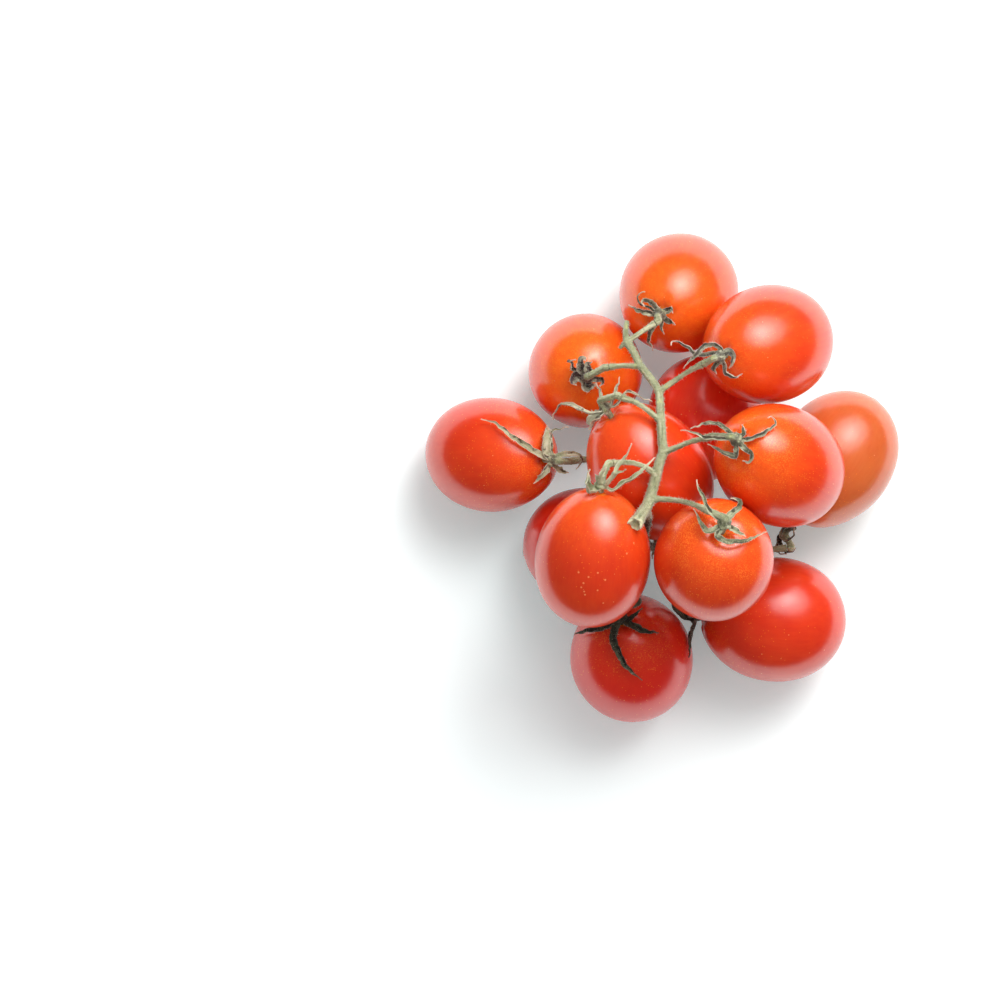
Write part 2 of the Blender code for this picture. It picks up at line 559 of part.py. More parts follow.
def sepal(fruit, width, points, fruits, stems, home):
    """A pointed blade from the calyx's heart along its points, bent clear of fruits and stems."""
    heart = fruit.stem_end() + fruit.axis * RECEPTACLE_LIFT
    points = [fruit.stem_end() + point for point in points]
    root = heart + (points[0] - heart) / np.linalg.norm(points[0] - heart) * SEPAL_ROOT
    path = smooth_route([root] + points, SEPAL_STEP)
    last = len(path) - 1
    rows = []
    across = np.cross(path[1] - path[0], fruit.outward(path[1]))
    across = across / np.linalg.norm(across)
    for step, point in enumerate(path):
        ahead = path[min(step + 1, last)] - path[max(step - 1, 0)]
        ahead = ahead / np.linalg.norm(ahead)
        flat = np.cross(ahead, fruit.outward(point))
        flat = flat if flat @ across > 0 else -flat
        across = across * (1 - SEPAL_LEVELLING) + flat * SEPAL_LEVELLING
        across = across - ahead * (across @ ahead)
        across = across / np.linalg.norm(across)
        half = max(width * np.interp(step / last, *zip(*SEPAL_OUTLINE)), SEPAL_LEAST_WIDTH) / 2
        edges = (point - across * half, point, point + across * half)
        rows.append([push_out(edge, SEPAL_CLEARANCE, fruits, stems) for edge in edges])
    mesh = bpy.data.meshes.new("sepal")
    shape = bmesh.new()
    grid = [[shape.verts.new(Vector(p) * MM) for p in row] for row in rows]
    for step in range(last):
        for lane in range(2):
            corner, right = grid[step][lane], grid[step][lane + 1]
            above, opposite = grid[step + 1][lane], grid[step + 1][lane + 1]
            shape.faces.new((corner, right, opposite))
            shape.faces.new((corner, opposite, above))
    shape.to_mesh(mesh)
    shape.free()
    blade = bpy.data.objects.new("sepal", mesh)
    home.objects.link(blade)
    skin = blade.modifiers.new("thickness", "SOLIDIFY")
    skin.thickness = SEPAL_THICKNESS * MM
    skin.offset = 0.0
    bpy.context.view_layer.objects.active = blade
    bpy.ops.object.modifier_apply(modifier=skin.name)
    shape = bmesh.new()
    shape.from_mesh(mesh)
    bmesh.ops.recalc_face_normals(shape, faces=shape.faces)
    bmesh.ops.triangulate(shape, faces=shape.faces)
    shape.to_mesh(mesh)
    shape.free()
    return blade


def hidden_sepals(fruit, draw):
    """Five even sepals for a calyx that other fruits cover."""
    sepals = []
    for index in range(5):
        turn = math.radians(72 * index + draw.uniform(-12, 12))
        out = fruit.side * math.cos(turn) + fruit.up * math.sin(turn)
        reach = HIDDEN_SEPAL_REACH * draw.uniform(0.85, 1.1)
        bend = out * reach / 2 + fruit.axis * HIDDEN_SEPAL_RISE
        sepals.append((HIDDEN_SEPAL_WIDTH, bend, out * reach - fruit.axis * HIDDEN_SEPAL_RISE))
    return sepals


def make_calyx(fruit, name, fruits, routes, material, home, cutters, draw):
    """Receptacle, five sepals and the fruit's short stalk up to the knuckle, as one body."""
    stalk = routes["stalks"][fruit.number]
    onward = (stalk[-1] - stalk[-2]) / np.linalg.norm(stalk[-1] - stalk[-2])
    start = stalk[-1] + onward * KNUCKLE_GAP
    foot = fruit.stem_end() + fruit.axis * RECEPTACLE_LIFT
    neck = start + onward * FOOT_NECK
    bow = [neck, foot + fruit.axis * FOOT_RISE, foot]
    bow = [push_out(p, STALK_RADIUS + STEM_CLEARANCE, fruits) for p in smooth_route(bow, FOOT_STEP)[1:]]
    route = [start, neck] + bow
    stems = [(stalk, KNUCKLE_RADIUS + KNUCKLE_CLEARANCE) for stalk in routes["stalks"].values()]
    stems += [(routes["trunk"], TRUNK_BASE_RADIUS), (routes["branch"], BRANCH_RADIUS)]
    stems += [(routes["stub"], STALK_RADIUS), (routes["spur"], STALK_RADIUS)]
    calyx = receptacle(fruit, home)
    calyx.name = name
    calyx.data.name = name
    pieces = [tube("foot", route, FOOT_RADII, 1, home)]
    blades = hidden_sepals(fruit, draw) if fruit.number in HIDDEN_CALYXES else SEPALS[fruit.number]
    pieces += [sepal(fruit, width, points, fruits, stems, home) for width, *points in blades]
    fuse(calyx, pieces, cutters)
    calyx.data.materials.append(material)
    return calyx


def centre_on_floor(parts):
    """Put the middle of the truss's box over the origin, with its underside at height 0."""
    corners = np.array([vertex.co for part in parts for vertex in part.data.vertices])
    middle = (corners.min(axis=0) + corners.max(axis=0)) / 2
    for part in parts:
        part.data.transform(Matrix.Translation((-middle[0], -middle[1], 0.0)))


def main():
    clear_scene()
    home = new_collection("truss_of_tomatoes")
    cutters = new_collection("fused_pieces")
    fruits = lay_fruits()
    routes = lay_routes(fruits)
    draw = random.Random(LEAVES_SEED)
    parts = [make_vine(routes, new_material("vine", (0.30, 0.36, 0.19), 0.75), home, cutters)]
    for number in sorted(fruits):
        fruit = fruits[number]
        skin = new_material(f"tomato_{number:02d}", (0.72, 0.09, 0.02), 0.25)
        green = new_material(f"calyx_{number:02d}", (0.25, 0.32, 0.17), 0.8)
        parts.append(make_tomato(fruit, f"tomato_{number:02d}", skin, home))
        parts.append(make_calyx(fruit, f"calyx_{number:02d}", fruits, routes, green, home, cutters, draw))
    centre_on_floor(parts)


main()
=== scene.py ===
# A truss of cherry plum tomatoes, as picked, on a pale table and seen from straight above.
# Lengths are in millimetres until a mesh is made.
import math
import random

import bmesh
import bpy
import numpy as np
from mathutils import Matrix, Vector
from mathutils.kdtree import KDTree


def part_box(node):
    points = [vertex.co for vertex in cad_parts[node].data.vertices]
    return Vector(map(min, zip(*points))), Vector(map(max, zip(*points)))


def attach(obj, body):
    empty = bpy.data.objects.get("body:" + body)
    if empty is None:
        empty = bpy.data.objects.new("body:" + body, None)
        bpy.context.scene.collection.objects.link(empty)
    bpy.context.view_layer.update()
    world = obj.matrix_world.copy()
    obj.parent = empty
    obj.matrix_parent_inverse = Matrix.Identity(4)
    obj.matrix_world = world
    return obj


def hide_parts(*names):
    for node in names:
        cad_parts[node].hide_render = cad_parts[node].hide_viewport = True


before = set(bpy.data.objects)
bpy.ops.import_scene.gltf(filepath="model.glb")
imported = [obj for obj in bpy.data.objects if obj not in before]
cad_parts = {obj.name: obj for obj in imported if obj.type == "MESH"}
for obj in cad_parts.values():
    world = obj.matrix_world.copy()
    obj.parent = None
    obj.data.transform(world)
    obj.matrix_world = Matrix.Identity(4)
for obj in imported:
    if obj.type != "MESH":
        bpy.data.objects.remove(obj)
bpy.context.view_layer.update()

mm = 0.001


# shader maths

class Wire:
    # one value or colour on its way through the nodes, so that maths reads as plain sums
    def __init__(self, paint, socket):
        self.paint = paint
        self.socket = socket

    def maths(self, operation, first, second):
        return self.paint.node("ShaderNodeMath", {"operation": operation}, {0: first, 1: second})

    def __add__(self, other):
        return self.maths("ADD", self, other)

    def __radd__(self, other):
        return self.maths("ADD", other, self)

    def __sub__(self, other):
        return self.maths("SUBTRACT", self, other)

    def __rsub__(self, other):
        return self.maths("SUBTRACT", other, self)

    def __mul__(self, other):
        return self.maths("MULTIPLY", self, other)

    def __rmul__(self, other):
        return self.maths("MULTIPLY", other, self)

    def __gt__(self, other):
        return self.maths("GREATER_THAN", self, other)

    def between(self, low, high):  # 0 below low, 1 above high, eased in between
        sockets = {"Value": self, "From Min": low, "From Max": high}
        return self.paint.node("ShaderNodeMapRange", {"interpolation_type": "SMOOTHSTEP"}, sockets)


class Paint:
    # one material and the nodes behind it
    def __init__(self, name, **fixed):
        self.material = bpy.data.materials.new(name)
        self.material.use_nodes = True
        self.tree = self.material.node_tree
        self.shader = self.tree.nodes["Principled BSDF"]
        for socket, value in fixed.items():
            self.shader.inputs[socket.replace("_", " ")].default_value = value

    def feed(self, socket, value):
        if isinstance(value, Wire):
            self.tree.links.new(value.socket, socket)
        else:
            socket.default_value = value

    def node(self, kind, settings=None, sockets=None, output=0):
        made = self.tree.nodes.new(kind)
        for name, value in (settings or {}).items():
            setattr(made, name, value)
        for name, value in (sockets or {}).items():
            self.feed(made.inputs[name], value)
        return Wire(self, made.outputs[output])

    def mix(self, share, first, second):
        return self.node("ShaderNodeMix", {"data_type": "RGBA"}, {0: share, 6: first, 7: second}, 2)

    def noise(self, where, scale, detail=2.0, rough=0.5):
        sockets = {"Vector": where, "Scale": scale, "Detail": detail, "Roughness": rough}
        return self.node("ShaderNodeTexNoise", None, sockets, "Fac")

    def patches(self, where, scale, detail, rough, low, high):
        return self.noise(where, scale, detail, rough).between(low, high)

    def cells(self, where, scale, output="Distance"):
        return self.node("ShaderNodeTexVoronoi", None, {"Vector": where, "Scale": scale}, output)

    def measure(self, operation, *vectors):
        sockets = dict(enumerate(vectors))
        return self.node("ShaderNodeVectorMath", {"operation": operation}, sockets, "Value")

    def mark(self, name, output="Fac"):
        return self.node("ShaderNodeAttribute", {"attribute_name": name}, None, output)

    def place(self):
        return self.node("ShaderNodeTexCoord", None, None, "Object")

    def bump(self, height, strength, distance):
        sockets = {"Height": height, "Strength": strength, "Distance": distance}
        self.feed(self.shader.inputs["Normal"], self.node("ShaderNodeBump", None, sockets, "Normal"))

    def colour(self, wire):
        self.feed(self.shader.inputs["Base Color"], wire)

    def roughness(self, wire):
        self.feed(self.shader.inputs["Roughness"], wire)


def rgb(red, green, blue, dims=(1.0, 1.0, 1.0)):
    # a colour as a screen shows it, made linear by the usual curve, and dimmed where asked
    linear = []
    for part, dim in zip((red, green, blue), dims):
        part = part / 255
        linear.append(dim * (part / 12.92 if part <= 0.04045 else ((part + 0.055) / 1.055) ** 2.4))
    return (*linear, 1.0)


def unit(vectors):
    # one direction, or a row of them, at length 1
    if vectors.ndim == 1:
        return vectors / np.linalg.norm(vectors)
    return vectors / np.linalg.norm(vectors, axis=1)[:, None]


# how the truss lies: the same fruits and routes as the solids

pile = {
    "fruitGap": 0.45, "flatSpot": 0.3, "taper": -0.05, "highest": 75.0, "drop": 0.1, "samples": 1600,
    "stemClearance": 0.5, "pushStep": 0.12, "pushRounds": 60, "sheetStep": 0.08, "sheetRounds": 25,
    "routeStep": 2.2,
}
# in the order in which they come to lie: x, y, length, width, stem end's heading and pitch in degrees
fruitTable = {
    12: (-42.2, 5.2, 37.5, 29.0, 354, 42),
    6: (-18.5, 26.5, 33.0, 29.0, 270, 84),
    7: (4.9, 46.0, 38.0, 29.8, 228, 66),
    11: (11.5, 14.5, 33.0, 28.8, 255, 5),
    10: (44.8, 4.0, 37.0, 29.8, 236, 2),
    13: (-18.2, -17.4, 32.5, 28.8, 8, 4),
    8: (-7.0, -46.0, 37.0, 31.0, 107, 56),
    9: (29.1, -36.6, 37.2, 31.6, 178, 6),
    4: (-3.3, 1.0, 38.0, 29.0, 126, 24),
    5: (26.0, 32.3, 39.0, 29.5, 196, 51),
    3: (28.1, 2.4, 41.0, 29.4, 153, 54),
    1: (11.7, -20.5, 32.0, 29.0, 80, 60),
    2: (-17.6, -20.2, 35.5, 28.2, 84, 25),
}
trunkPoints = (
    (-8.2, -12.3, 63.2), (-6.9, -10.4, 60.5), (-4.8, -8.0, 56.5), (-3.6, -5.3, 54.5), (-2.8, -2.4, 54.0),
    (-1.4, 3.0, 54.2), (-0.6, 5.5, 53.8), (-0.8, 8.5, 53.2), (-1.0, 13.7, 50.8), (-1.2, 19.6, 46.8),
    (-1.8, 21.5, 45.5), (-4.2, 25.0, 43.2), (-5.7, 27.0, 42.0), (-7.4, 30.6, 40.6), (-9.0, 33.0, 39.6),
)
stubPoints = ((-9.0, 33.0, 39.6), (-9.2, 35.5, 39.8), (-8.8, 38.2, 39.6))
spurPoints = ((-9.0, 33.0, 39.6), (-10.7, 31.2, 39.2))
branchPoints = (
    (-5.2, -8.5, 56.8), (-4.8, -11.0, 51.5), (-4.6, -14.0, 45.0), (-4.2, -16.8, 38.0), (-1.5, -18.0, 31.0),
    (4.0, -18.0, 25.5), (10.0, -18.0, 21.0),
)
stalkPoints = {
    1: ((-3.6, -6.2, 54.6), (0.2, -6.1, 56.2), (3.4, -6.5, 59.5), (6.6, -7.9, 64.5), (9.0, -8.6, 69.0)),
    2: ((-2.4, -0.2, 54.0), (-5.0, 1.7, 55.0), (-7.4, 2.6, 55.4), (-10.2, 2.9, 56.0), (-13.2, 2.6, 58.4)),
    3: ((-0.6, 5.2, 53.8), (3.3, 6.8, 54.8), (6.0, 7.9, 56.6), (10.2, 8.9, 60.0)),
    4: ((-1.0, 12.8, 51.0), (-4.6, 15.9, 51.0), (-7.5, 17.7, 51.0), (-10.6, 18.8, 50.8)),
    5: ((-1.4, 20.3, 46.4), (2.9, 23.2, 47.0), (6.2, 25.4, 48.6), (9.2, 26.9, 51.0)),
    6: ((-5.4, 26.6, 42.2), (-9.6, 26.9, 41.0), (-13.2, 26.6, 40.2)),
    7: ((-8.8, 32.8, 39.6), (-4.8, 35.6, 39.8), (-2.0, 37.4, 39.4)),
    8: ((-3.4, -17.4, 34.5), (-6.5, -21.5, 33.5), (-7.6, -26.5, 35.0), (-6.4, -30.6, 37.8)),
    9: ((7.0, -18.0, 23.2), (5.2, -24.0, 21.5), (3.6, -29.0, 20.8), (4.0, -32.2, 20.6)),
    10: ((10.0, -18.0, 21.0), (17.0, -18.6, 18.0), (24.0, -19.2, 16.5), (32.6, -18.4, 16.5)),
    11: ((9.4, -18.0, 21.4), (8.6, -13.0, 19.0), (7.4, -8.0, 17.0)),
    12: (
        (-1.6, -16.6, 36.0), (-3.0, -12.5, 28.5), (-4.0, -6.0, 22.0), (-7.5, 0.0, 17.5),
        (-13.0, 3.6, 18.0), (-18.5, 4.0, 22.0), (-22.0, 3.6, 26.5),
    ),
    13: ((3.0, -18.0, 26.6), (5.0, -15.6, 22.5), (4.8, -14.4, 18.5)),
}


class Fruit:
    # a tomato's plain form: a solid of revolution round the axis through its stem end
    def __init__(self, number, x, y, length, width, heading, pitch):
        self.number = number
        self.halfLength = length / 2
        self.halfWidth = width / 2
        heading, pitch = math.radians(heading), math.radians(pitch)
        level = math.cos(pitch)
        self.axis = np.array([math.cos(heading) * level, math.sin(heading) * level, math.sin(pitch)])
        self.side = np.array([-math.sin(heading), math.cos(heading), 0.0])
        self.up = np.cross(self.axis, self.side)
        self.centre = np.array([x, y, 0.0])

    def widthAt(self, along):
        return self.halfWidth * (1 + pile["taper"] * along)

    def fromBall(self, ball, swell=1.0):
        # points of a unit ball, with the third number along the axis, as offsets from the centre
        width = self.widthAt(ball[:, 2]) * swell
        return (
            np.outer(ball[:, 2] * self.halfLength, self.axis)
            + np.outer(ball[:, 0] * width, self.side)
            + np.outer(ball[:, 1] * width, self.up)
        )

    def depth(self, points, gap=0.0):
        offsets = points - self.centre
        along = offsets @ self.axis / (self.halfLength + gap)
        width = self.widthAt(np.clip(along, -1, 1)) + gap
        across = ((offsets @ self.side) ** 2 + (offsets @ self.up) ** 2) / width**2
        return along * along + across - 1

    def outward(self, points):
        offsets = points - self.centre
        grown = (
            np.outer(offsets @ self.axis / self.halfLength**2, self.axis)
            + np.outer(offsets @ self.side / self.halfWidth**2, self.side)
            + np.outer(offsets @ self.up / self.halfWidth**2, self.up)
        )
        return unit(grown)

    def stemEnd(self):
        return self.centre + self.axis * self.halfLength


def evenBall(count):
    step = np.arange(count) + 0.5
    along = 1 - 2 * step / count
    turn = step * math.pi * (3 - math.sqrt(5))
    ring = np.sqrt(1 - along * along)
    return np.stack([ring * np.cos(turn), ring * np.sin(turn), along], axis=1)


def layFruits():
    ball = evenBall(pile["samples"])
    laid = {}
    for number, row in fruitTable.items():
        fruit = Fruit(number, *row)
        offsets = fruit.fromBall(ball)
        floor = -offsets[:, 2].min() - pile["flatSpot"]
        height = pile["highest"]
        while height > floor:
            lower = max(floor, height - pile["drop"])
            skin = offsets + fruit.centre + (0, 0, lower)
            if any(other.depth(skin, pile["fruitGap"]).min() < 0 for other in laid.values()):
                break
            height = lower
        fruit.centre[2] = height
        laid[number] = fruit
    return laid


def centreOnFrame(laid):
    # the solids stand with their box's middle over the origin; each fruit's own box says how far they moved
    moves = []
    for number, fruit in laid.items():
        low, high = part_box(f"tomato_{number:02d}")
        middle = (np.array(low) + np.array(high)) / 2 / mm
        moves.append(middle[:2] - fruit.centre[:2])
    return np.array([*np.median(moves, axis=0), 0.0])


def nearestOnRoute(point, route):
    starts, ends = np.array(route[:-1]), np.array(route[1:])
    runs = ends - starts
    shares = np.clip(((point - starts) * runs).sum(axis=1) / (runs * runs).sum(axis=1), 0, 1)
    places = starts + runs * shares[:, None]
    return places[np.linalg.norm(places - point, axis=1).argmin()]


def pushOut(point, distance, stems=()):
    point = np.array(point, dtype=float)
    for _ in range(pile["pushRounds"]):
        moved = False
        for fruit in fruits.values():
            if fruit.depth(point[None, :], distance)[0] < 0:
                point = point + fruit.outward(point[None, :])[0] * pile["pushStep"]
                moved = True
        for route, radius in stems:
            away = point - nearestOnRoute(point, route)
            if np.linalg.norm(away) < radius + distance:
                point = point + away / max(np.linalg.norm(away), 0.01) * pile["pushStep"]
                moved = True
        if not moved:
            break
    return point


def pushAllOut(points, distance):
    points = np.array(points, dtype=float)
    for _ in range(pile["sheetRounds"]):
        moved = False
        for fruit in fruits.values():
            inside = fruit.depth(points, distance) < 0
            if inside.any():
                points[inside] += fruit.outward(points[inside]) * pile["sheetStep"]
                moved = True
        if not moved:
            break
    return points


def smoothRoute(points, step=pile["routeStep"]):
    # a curve through all the points, read at about even steps
    points = [np.array(p, dtype=float) for p in points]
    ends = [2 * points[0] - points[1]] + points + [2 * points[-1] - points[-2]]
    route = [points[0]]
    for index in range(1, len(ends) - 2):
        before, start, end, after = ends[index - 1 : index + 3]
        pieces = max(1, round(np.linalg.norm(end - start) / step))
        for piece in range(1, pieces + 1):
            t = piece / pieces
            square = 2 * before - 5 * start + 4 * end - after
            cube = 3 * start - before - 3 * end + after
            route.append(0.5 * (2 * start + (end - before) * t + square * t * t + cube * t**3))
    return route


def layRoutes():
    def cleared(points, radius, parents=()):
        points = [pushOut(p, radius + pile["stemClearance"]) for p in points]
        if parents:
            starts = [nearestOnRoute(points[0], route) for route in parents]
            points[0] = min(starts, key=lambda start: np.linalg.norm(start - points[0]))
        return [pushOut(p, radius + pile["stemClearance"]) for p in smoothRoute(points)]

    trunk = cleared(trunkPoints, vine["trunk"])
    branch = cleared(branchPoints, vine["branch"], [trunk])
    stalks = {n: cleared(points, vine["stalk"], [trunk, branch]) for n, points in stalkPoints.items()}
    stub = cleared(stubPoints, vine["stalk"], [trunk])
    spur = cleared(spurPoints, vine["stalk"], [trunk])
    return {"trunk": trunk, "branch": branch, "stalks": stalks, "stub": stub, "spur": spur}


# meshes

def addMarks(mesh, **marks):
    # numbers or vectors kept on the mesh's points, for the paint to read; None gives noughts
    for mark, values in marks.items():
        values = np.zeros(len(mesh.vertices)) if values is None else values
        values = np.asarray(values, dtype=np.float32)
        kind, field = ("FLOAT", "value") if values.ndim == 1 else ("FLOAT_VECTOR", "vector")
        mesh.attributes.new(mark, kind, "POINT").data.foreach_set(field, values.ravel())


def placed(name, data):
    thing = bpy.data.objects.new(name, data)
    bpy.context.scene.collection.objects.link(thing)
    return thing


def toObject(name, points, faces, **marks):
    # a mesh object from millimetre points
    mesh = bpy.data.meshes.new(name)
    mesh.from_pydata((np.array(points) * mm).tolist(), [], faces)
    mesh.update()
    addMarks(mesh, **marks)
    mesh.shade_smooth()
    return placed(name, mesh)


def gridFaces(rows, columns, closed):
    # quads of a sheet of points stored row by row, closed round each row if wanted
    faces = []
    for row in range(rows - 1):
        for column in range(columns if closed else columns - 1):
            after = (column + 1) % columns
            first, second = row * columns, (row + 1) * columns
            faces.append((first + column, first + after, second + after, second + column))
    return faces


def baked(thing):
    # the object with its modifiers worked in
    bpy.context.view_layer.update()
    graph = bpy.context.evaluated_depsgraph_get()
    mesh = bpy.data.meshes.new_from_object(thing.evaluated_get(graph))
    thing.modifiers.clear()
    thing.data = mesh
    return thing


def readPoints(mesh, field):
    flat = np.empty(len(mesh.vertices) * 3, dtype=np.float32)
    mesh.vertices.foreach_get(field, flat)
    return flat.reshape(-1, 3).astype(float)


def meshPoints(mesh):
    return readPoints(mesh, "co") / mm


def setPoints(mesh, points):
    mesh.vertices.foreach_set("co", (points * mm).astype(np.float32).ravel())
    mesh.update()
    mesh.shade_smooth()


wavering = {"waves": 7, "sizes": (0.7, 1.6), "level": 4, "turn": 6.28}


def wobble(points, size, seed):
    # a smooth waver between about -1 and 1 from a few crossing waves
    draw = np.random.default_rng(seed)
    total = np.zeros(len(points))
    for _ in range(wavering["waves"]):
        way = draw.normal(size=3)
        way = way / np.linalg.norm(way) * 2 * math.pi / (size * draw.uniform(*wavering["sizes"]))
        total += np.sin(points @ way + draw.uniform(0, wavering["turn"]))
    return total / wavering["level"]


# tomatoes

tomato = {
    "rings": 72, "sides": 108,
    "dimples": ((1.5, 4.6),), "ownDimples": {1: ((1.2, 3.8), (1.8, 13.0)), 2: ((0.4, 5.0),)},
    "creases": 5, "creaseDepth": 0.22, "creaseRing": (2.6, 1.9), "creaseTurn": 1.3, "lobes": 0.012,
    "lumps": 0.10, "lumpSize": 17.0, "scarWidth": 0.9, "scarDepth": 0.28, "floorLift": 0.02,
    "streakStretch": 0.12, "patches": (95.0, 3.0, 0.5, 0.36, 0.64), "streaks": (16.0, 3.0, 0.6, 0.3, 0.72),
    "clouds": (150.0, 2.0, 0.5, 0.38, 0.62), "powder": (3400.0, 1.0, 0.5, 0.5, 0.66), "patchShare": 0.6,
    "shoulderReach": (0.15, 0.98), "shoulderShare": (0.55, 0.3), "powderReach": (0.3, 0.95),
    "powderCloud": 0.3, "powderShare": 0.7, "dotReach": (-0.35, 0.9), "dotThick": (0.8, 0.06),
    "dotCloud": 0.2, "dotPick": 0.75, "dotScale": 2300.0, "dotSize": (0.12, 0.36), "dotShare": 0.85,
    "poreScale": 270.0, "poreSize": (0.022, 0.05), "poreShare": 0.75, "freckleShare": 0.6,
    "scarEdge": (0.25, 0.7), "collarEdge": (0.5, 0.95), "collarShare": 0.8,
    "sheenScale": 420.0, "sheenSpread": 0.05,
    "bumpScale": 900.0, "dotBump": 0.2, "bump": 0.06, "bumpDepth": 0.0002,
    "roughness": 0.21, "gloss": 1.0, "coat": 0.08, "coatRoughness": 0.1, "dims": (0.96, 0.66, 0.56),
    "glow": 0.60, "glowReach": (1.0, 0.2, 0.08), "glowScale": 0.006, "freckle": (0.16, 0.32),
    "dust": (255, 168, 62), "pore": (255, 206, 146), "scar": (120, 74, 34), "collar": (250, 178, 52),
}
# each fruit's own tones as they show in the light: body, bright side, shoulder round the stem end, and how
# much gold dust it has
skinTones = {
    1: ((214, 66, 26), (232, 90, 32), (242, 108, 34), 1.15),
    2: ((214, 68, 32), (226, 82, 34), (242, 110, 36), 0.35),
    3: ((218, 66, 24), (236, 88, 28), (250, 122, 30), 1.0),
    4: ((222, 68, 30), (236, 84, 30), (242, 100, 36), 0.3),
    5: ((222, 70, 28), (236, 94, 34), (244, 110, 32), 0.45),
    6: ((230, 80, 26), (244, 102, 30), (254, 140, 34), 0.7),
    7: ((226, 82, 26), (234, 102, 30), (246, 130, 34), 0.35),
    8: ((214, 42, 30), (222, 48, 32), (226, 68, 34), 0.45),
    9: ((210, 56, 28), (224, 76, 34), (214, 62, 28), 0.4),
    10: ((204, 114, 60), (214, 130, 70), (218, 134, 70), 0.5),
    # painted light: fruit 11 is painted lighter than its own tone, for the lamp light its neighbours hide from
    # it
    11: ((238, 58, 40), (248, 84, 48), (246, 96, 44), 0.3),
    12: ((214, 66, 28), (226, 80, 32), (238, 96, 34), 0.6),
    13: ((204, 44, 28), (214, 56, 30), (222, 68, 30), 0.3),
}
# pale freckles in plan, on the one fruit that has a cluster of them
freckles = {
    2: (
        (-19.0, -24.7), (-16.8, -23.7), (-15.0, -25.4), (-20.2, -26.2), (-20.7, -27.2), (-20.0, -28.2),
        (-19.8, -29.0), (-16.8, -27.9), (-21.4, -23.6), (-15.4, -31.0), (-9.8, -19.1), (-8.1, -16.6),
    ),
}


def makeBall():
    shape = bmesh.new()
    bmesh.ops.create_uvsphere(shape, u_segments=tomato["sides"], v_segments=tomato["rings"], radius=1.0)
    mesh = bpy.data.meshes.new("ball")
    shape.to_mesh(mesh)
    shape.free()
    return mesh


def makeTomato(fruit, ballMesh):
    mesh = ballMesh.copy()
    mesh.name = f"skin_{fruit.number:02d}"
    ball = unit(meshPoints(mesh) * mm)
    turn = np.arctan2(ball[:, 1], ball[:, 0])
    ring = np.hypot(ball[:, 0], ball[:, 1])
    away = ring * fruit.halfWidth
    # shallow lobes run from the stem end down the shoulders
    folds = np.cos(tomato["creases"] * turn + fruit.number * tomato["creaseTurn"])
    shoulder = np.clip(ball[:, 2], 0, 1) ** 2 * ring
    points = fruit.centre + fruit.fromBall(ball, 1 + tomato["lobes"] * shoulder * folds)
    lumps = wobble(points, tomato["lumpSize"], fruit.number) * tomato["lumps"]
    points += fruit.outward(points) * lumps[:, None]
    # the dimple at the stem end, with soft creases running into it
    nearStem = ball[:, 2] > 0
    dimples = tomato["ownDimples"].get(fruit.number, tomato["dimples"])
    hollows = [np.exp(-((away / (width / 2)) ** 2)) * nearStem for _, width in dimples]
    sunk = sum(depth * hollow for (depth, _), hollow in zip(dimples, hollows))
    creaseAway, creaseWidth = tomato["creaseRing"]
    crease = np.exp(-(((away - creaseAway) / creaseWidth) ** 2)) * nearStem * folds
    points -= np.outer(sunk + tomato["creaseDepth"] * crease, fruit.axis)
    # a small pointed scar at the blossom end
    scar = np.exp(-((away / tomato["scarWidth"]) ** 2)) * (ball[:, 2] < 0)
    points -= np.outer(tomato["scarDepth"] * scar, fruit.axis)
    points[:, 2] = np.maximum(points[:, 2], tomato["floorLift"])
    setPoints(mesh, points)
    grain = ball * (1, 1, tomato["streakStretch"])
    addMarks(mesh, along=ball[:, 2], scar=scar, hollow=hollows[0], grain=grain)
    thing = placed(mesh.name, mesh)
    mesh.materials.append(skinPaint(fruit))
    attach(thing, "root")
    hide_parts(f"tomato_{fruit.number:02d}")


def topOfSkin(fruit, x, y):
    # the highest point of the fruit over a place in plan
    heights = np.linspace(fruit.centre[2], fruit.centre[2] + fruit.halfLength, 200)
    column = np.array([(x, y, height) for height in heights])
    return column[fruit.depth(column) < 0][-1]


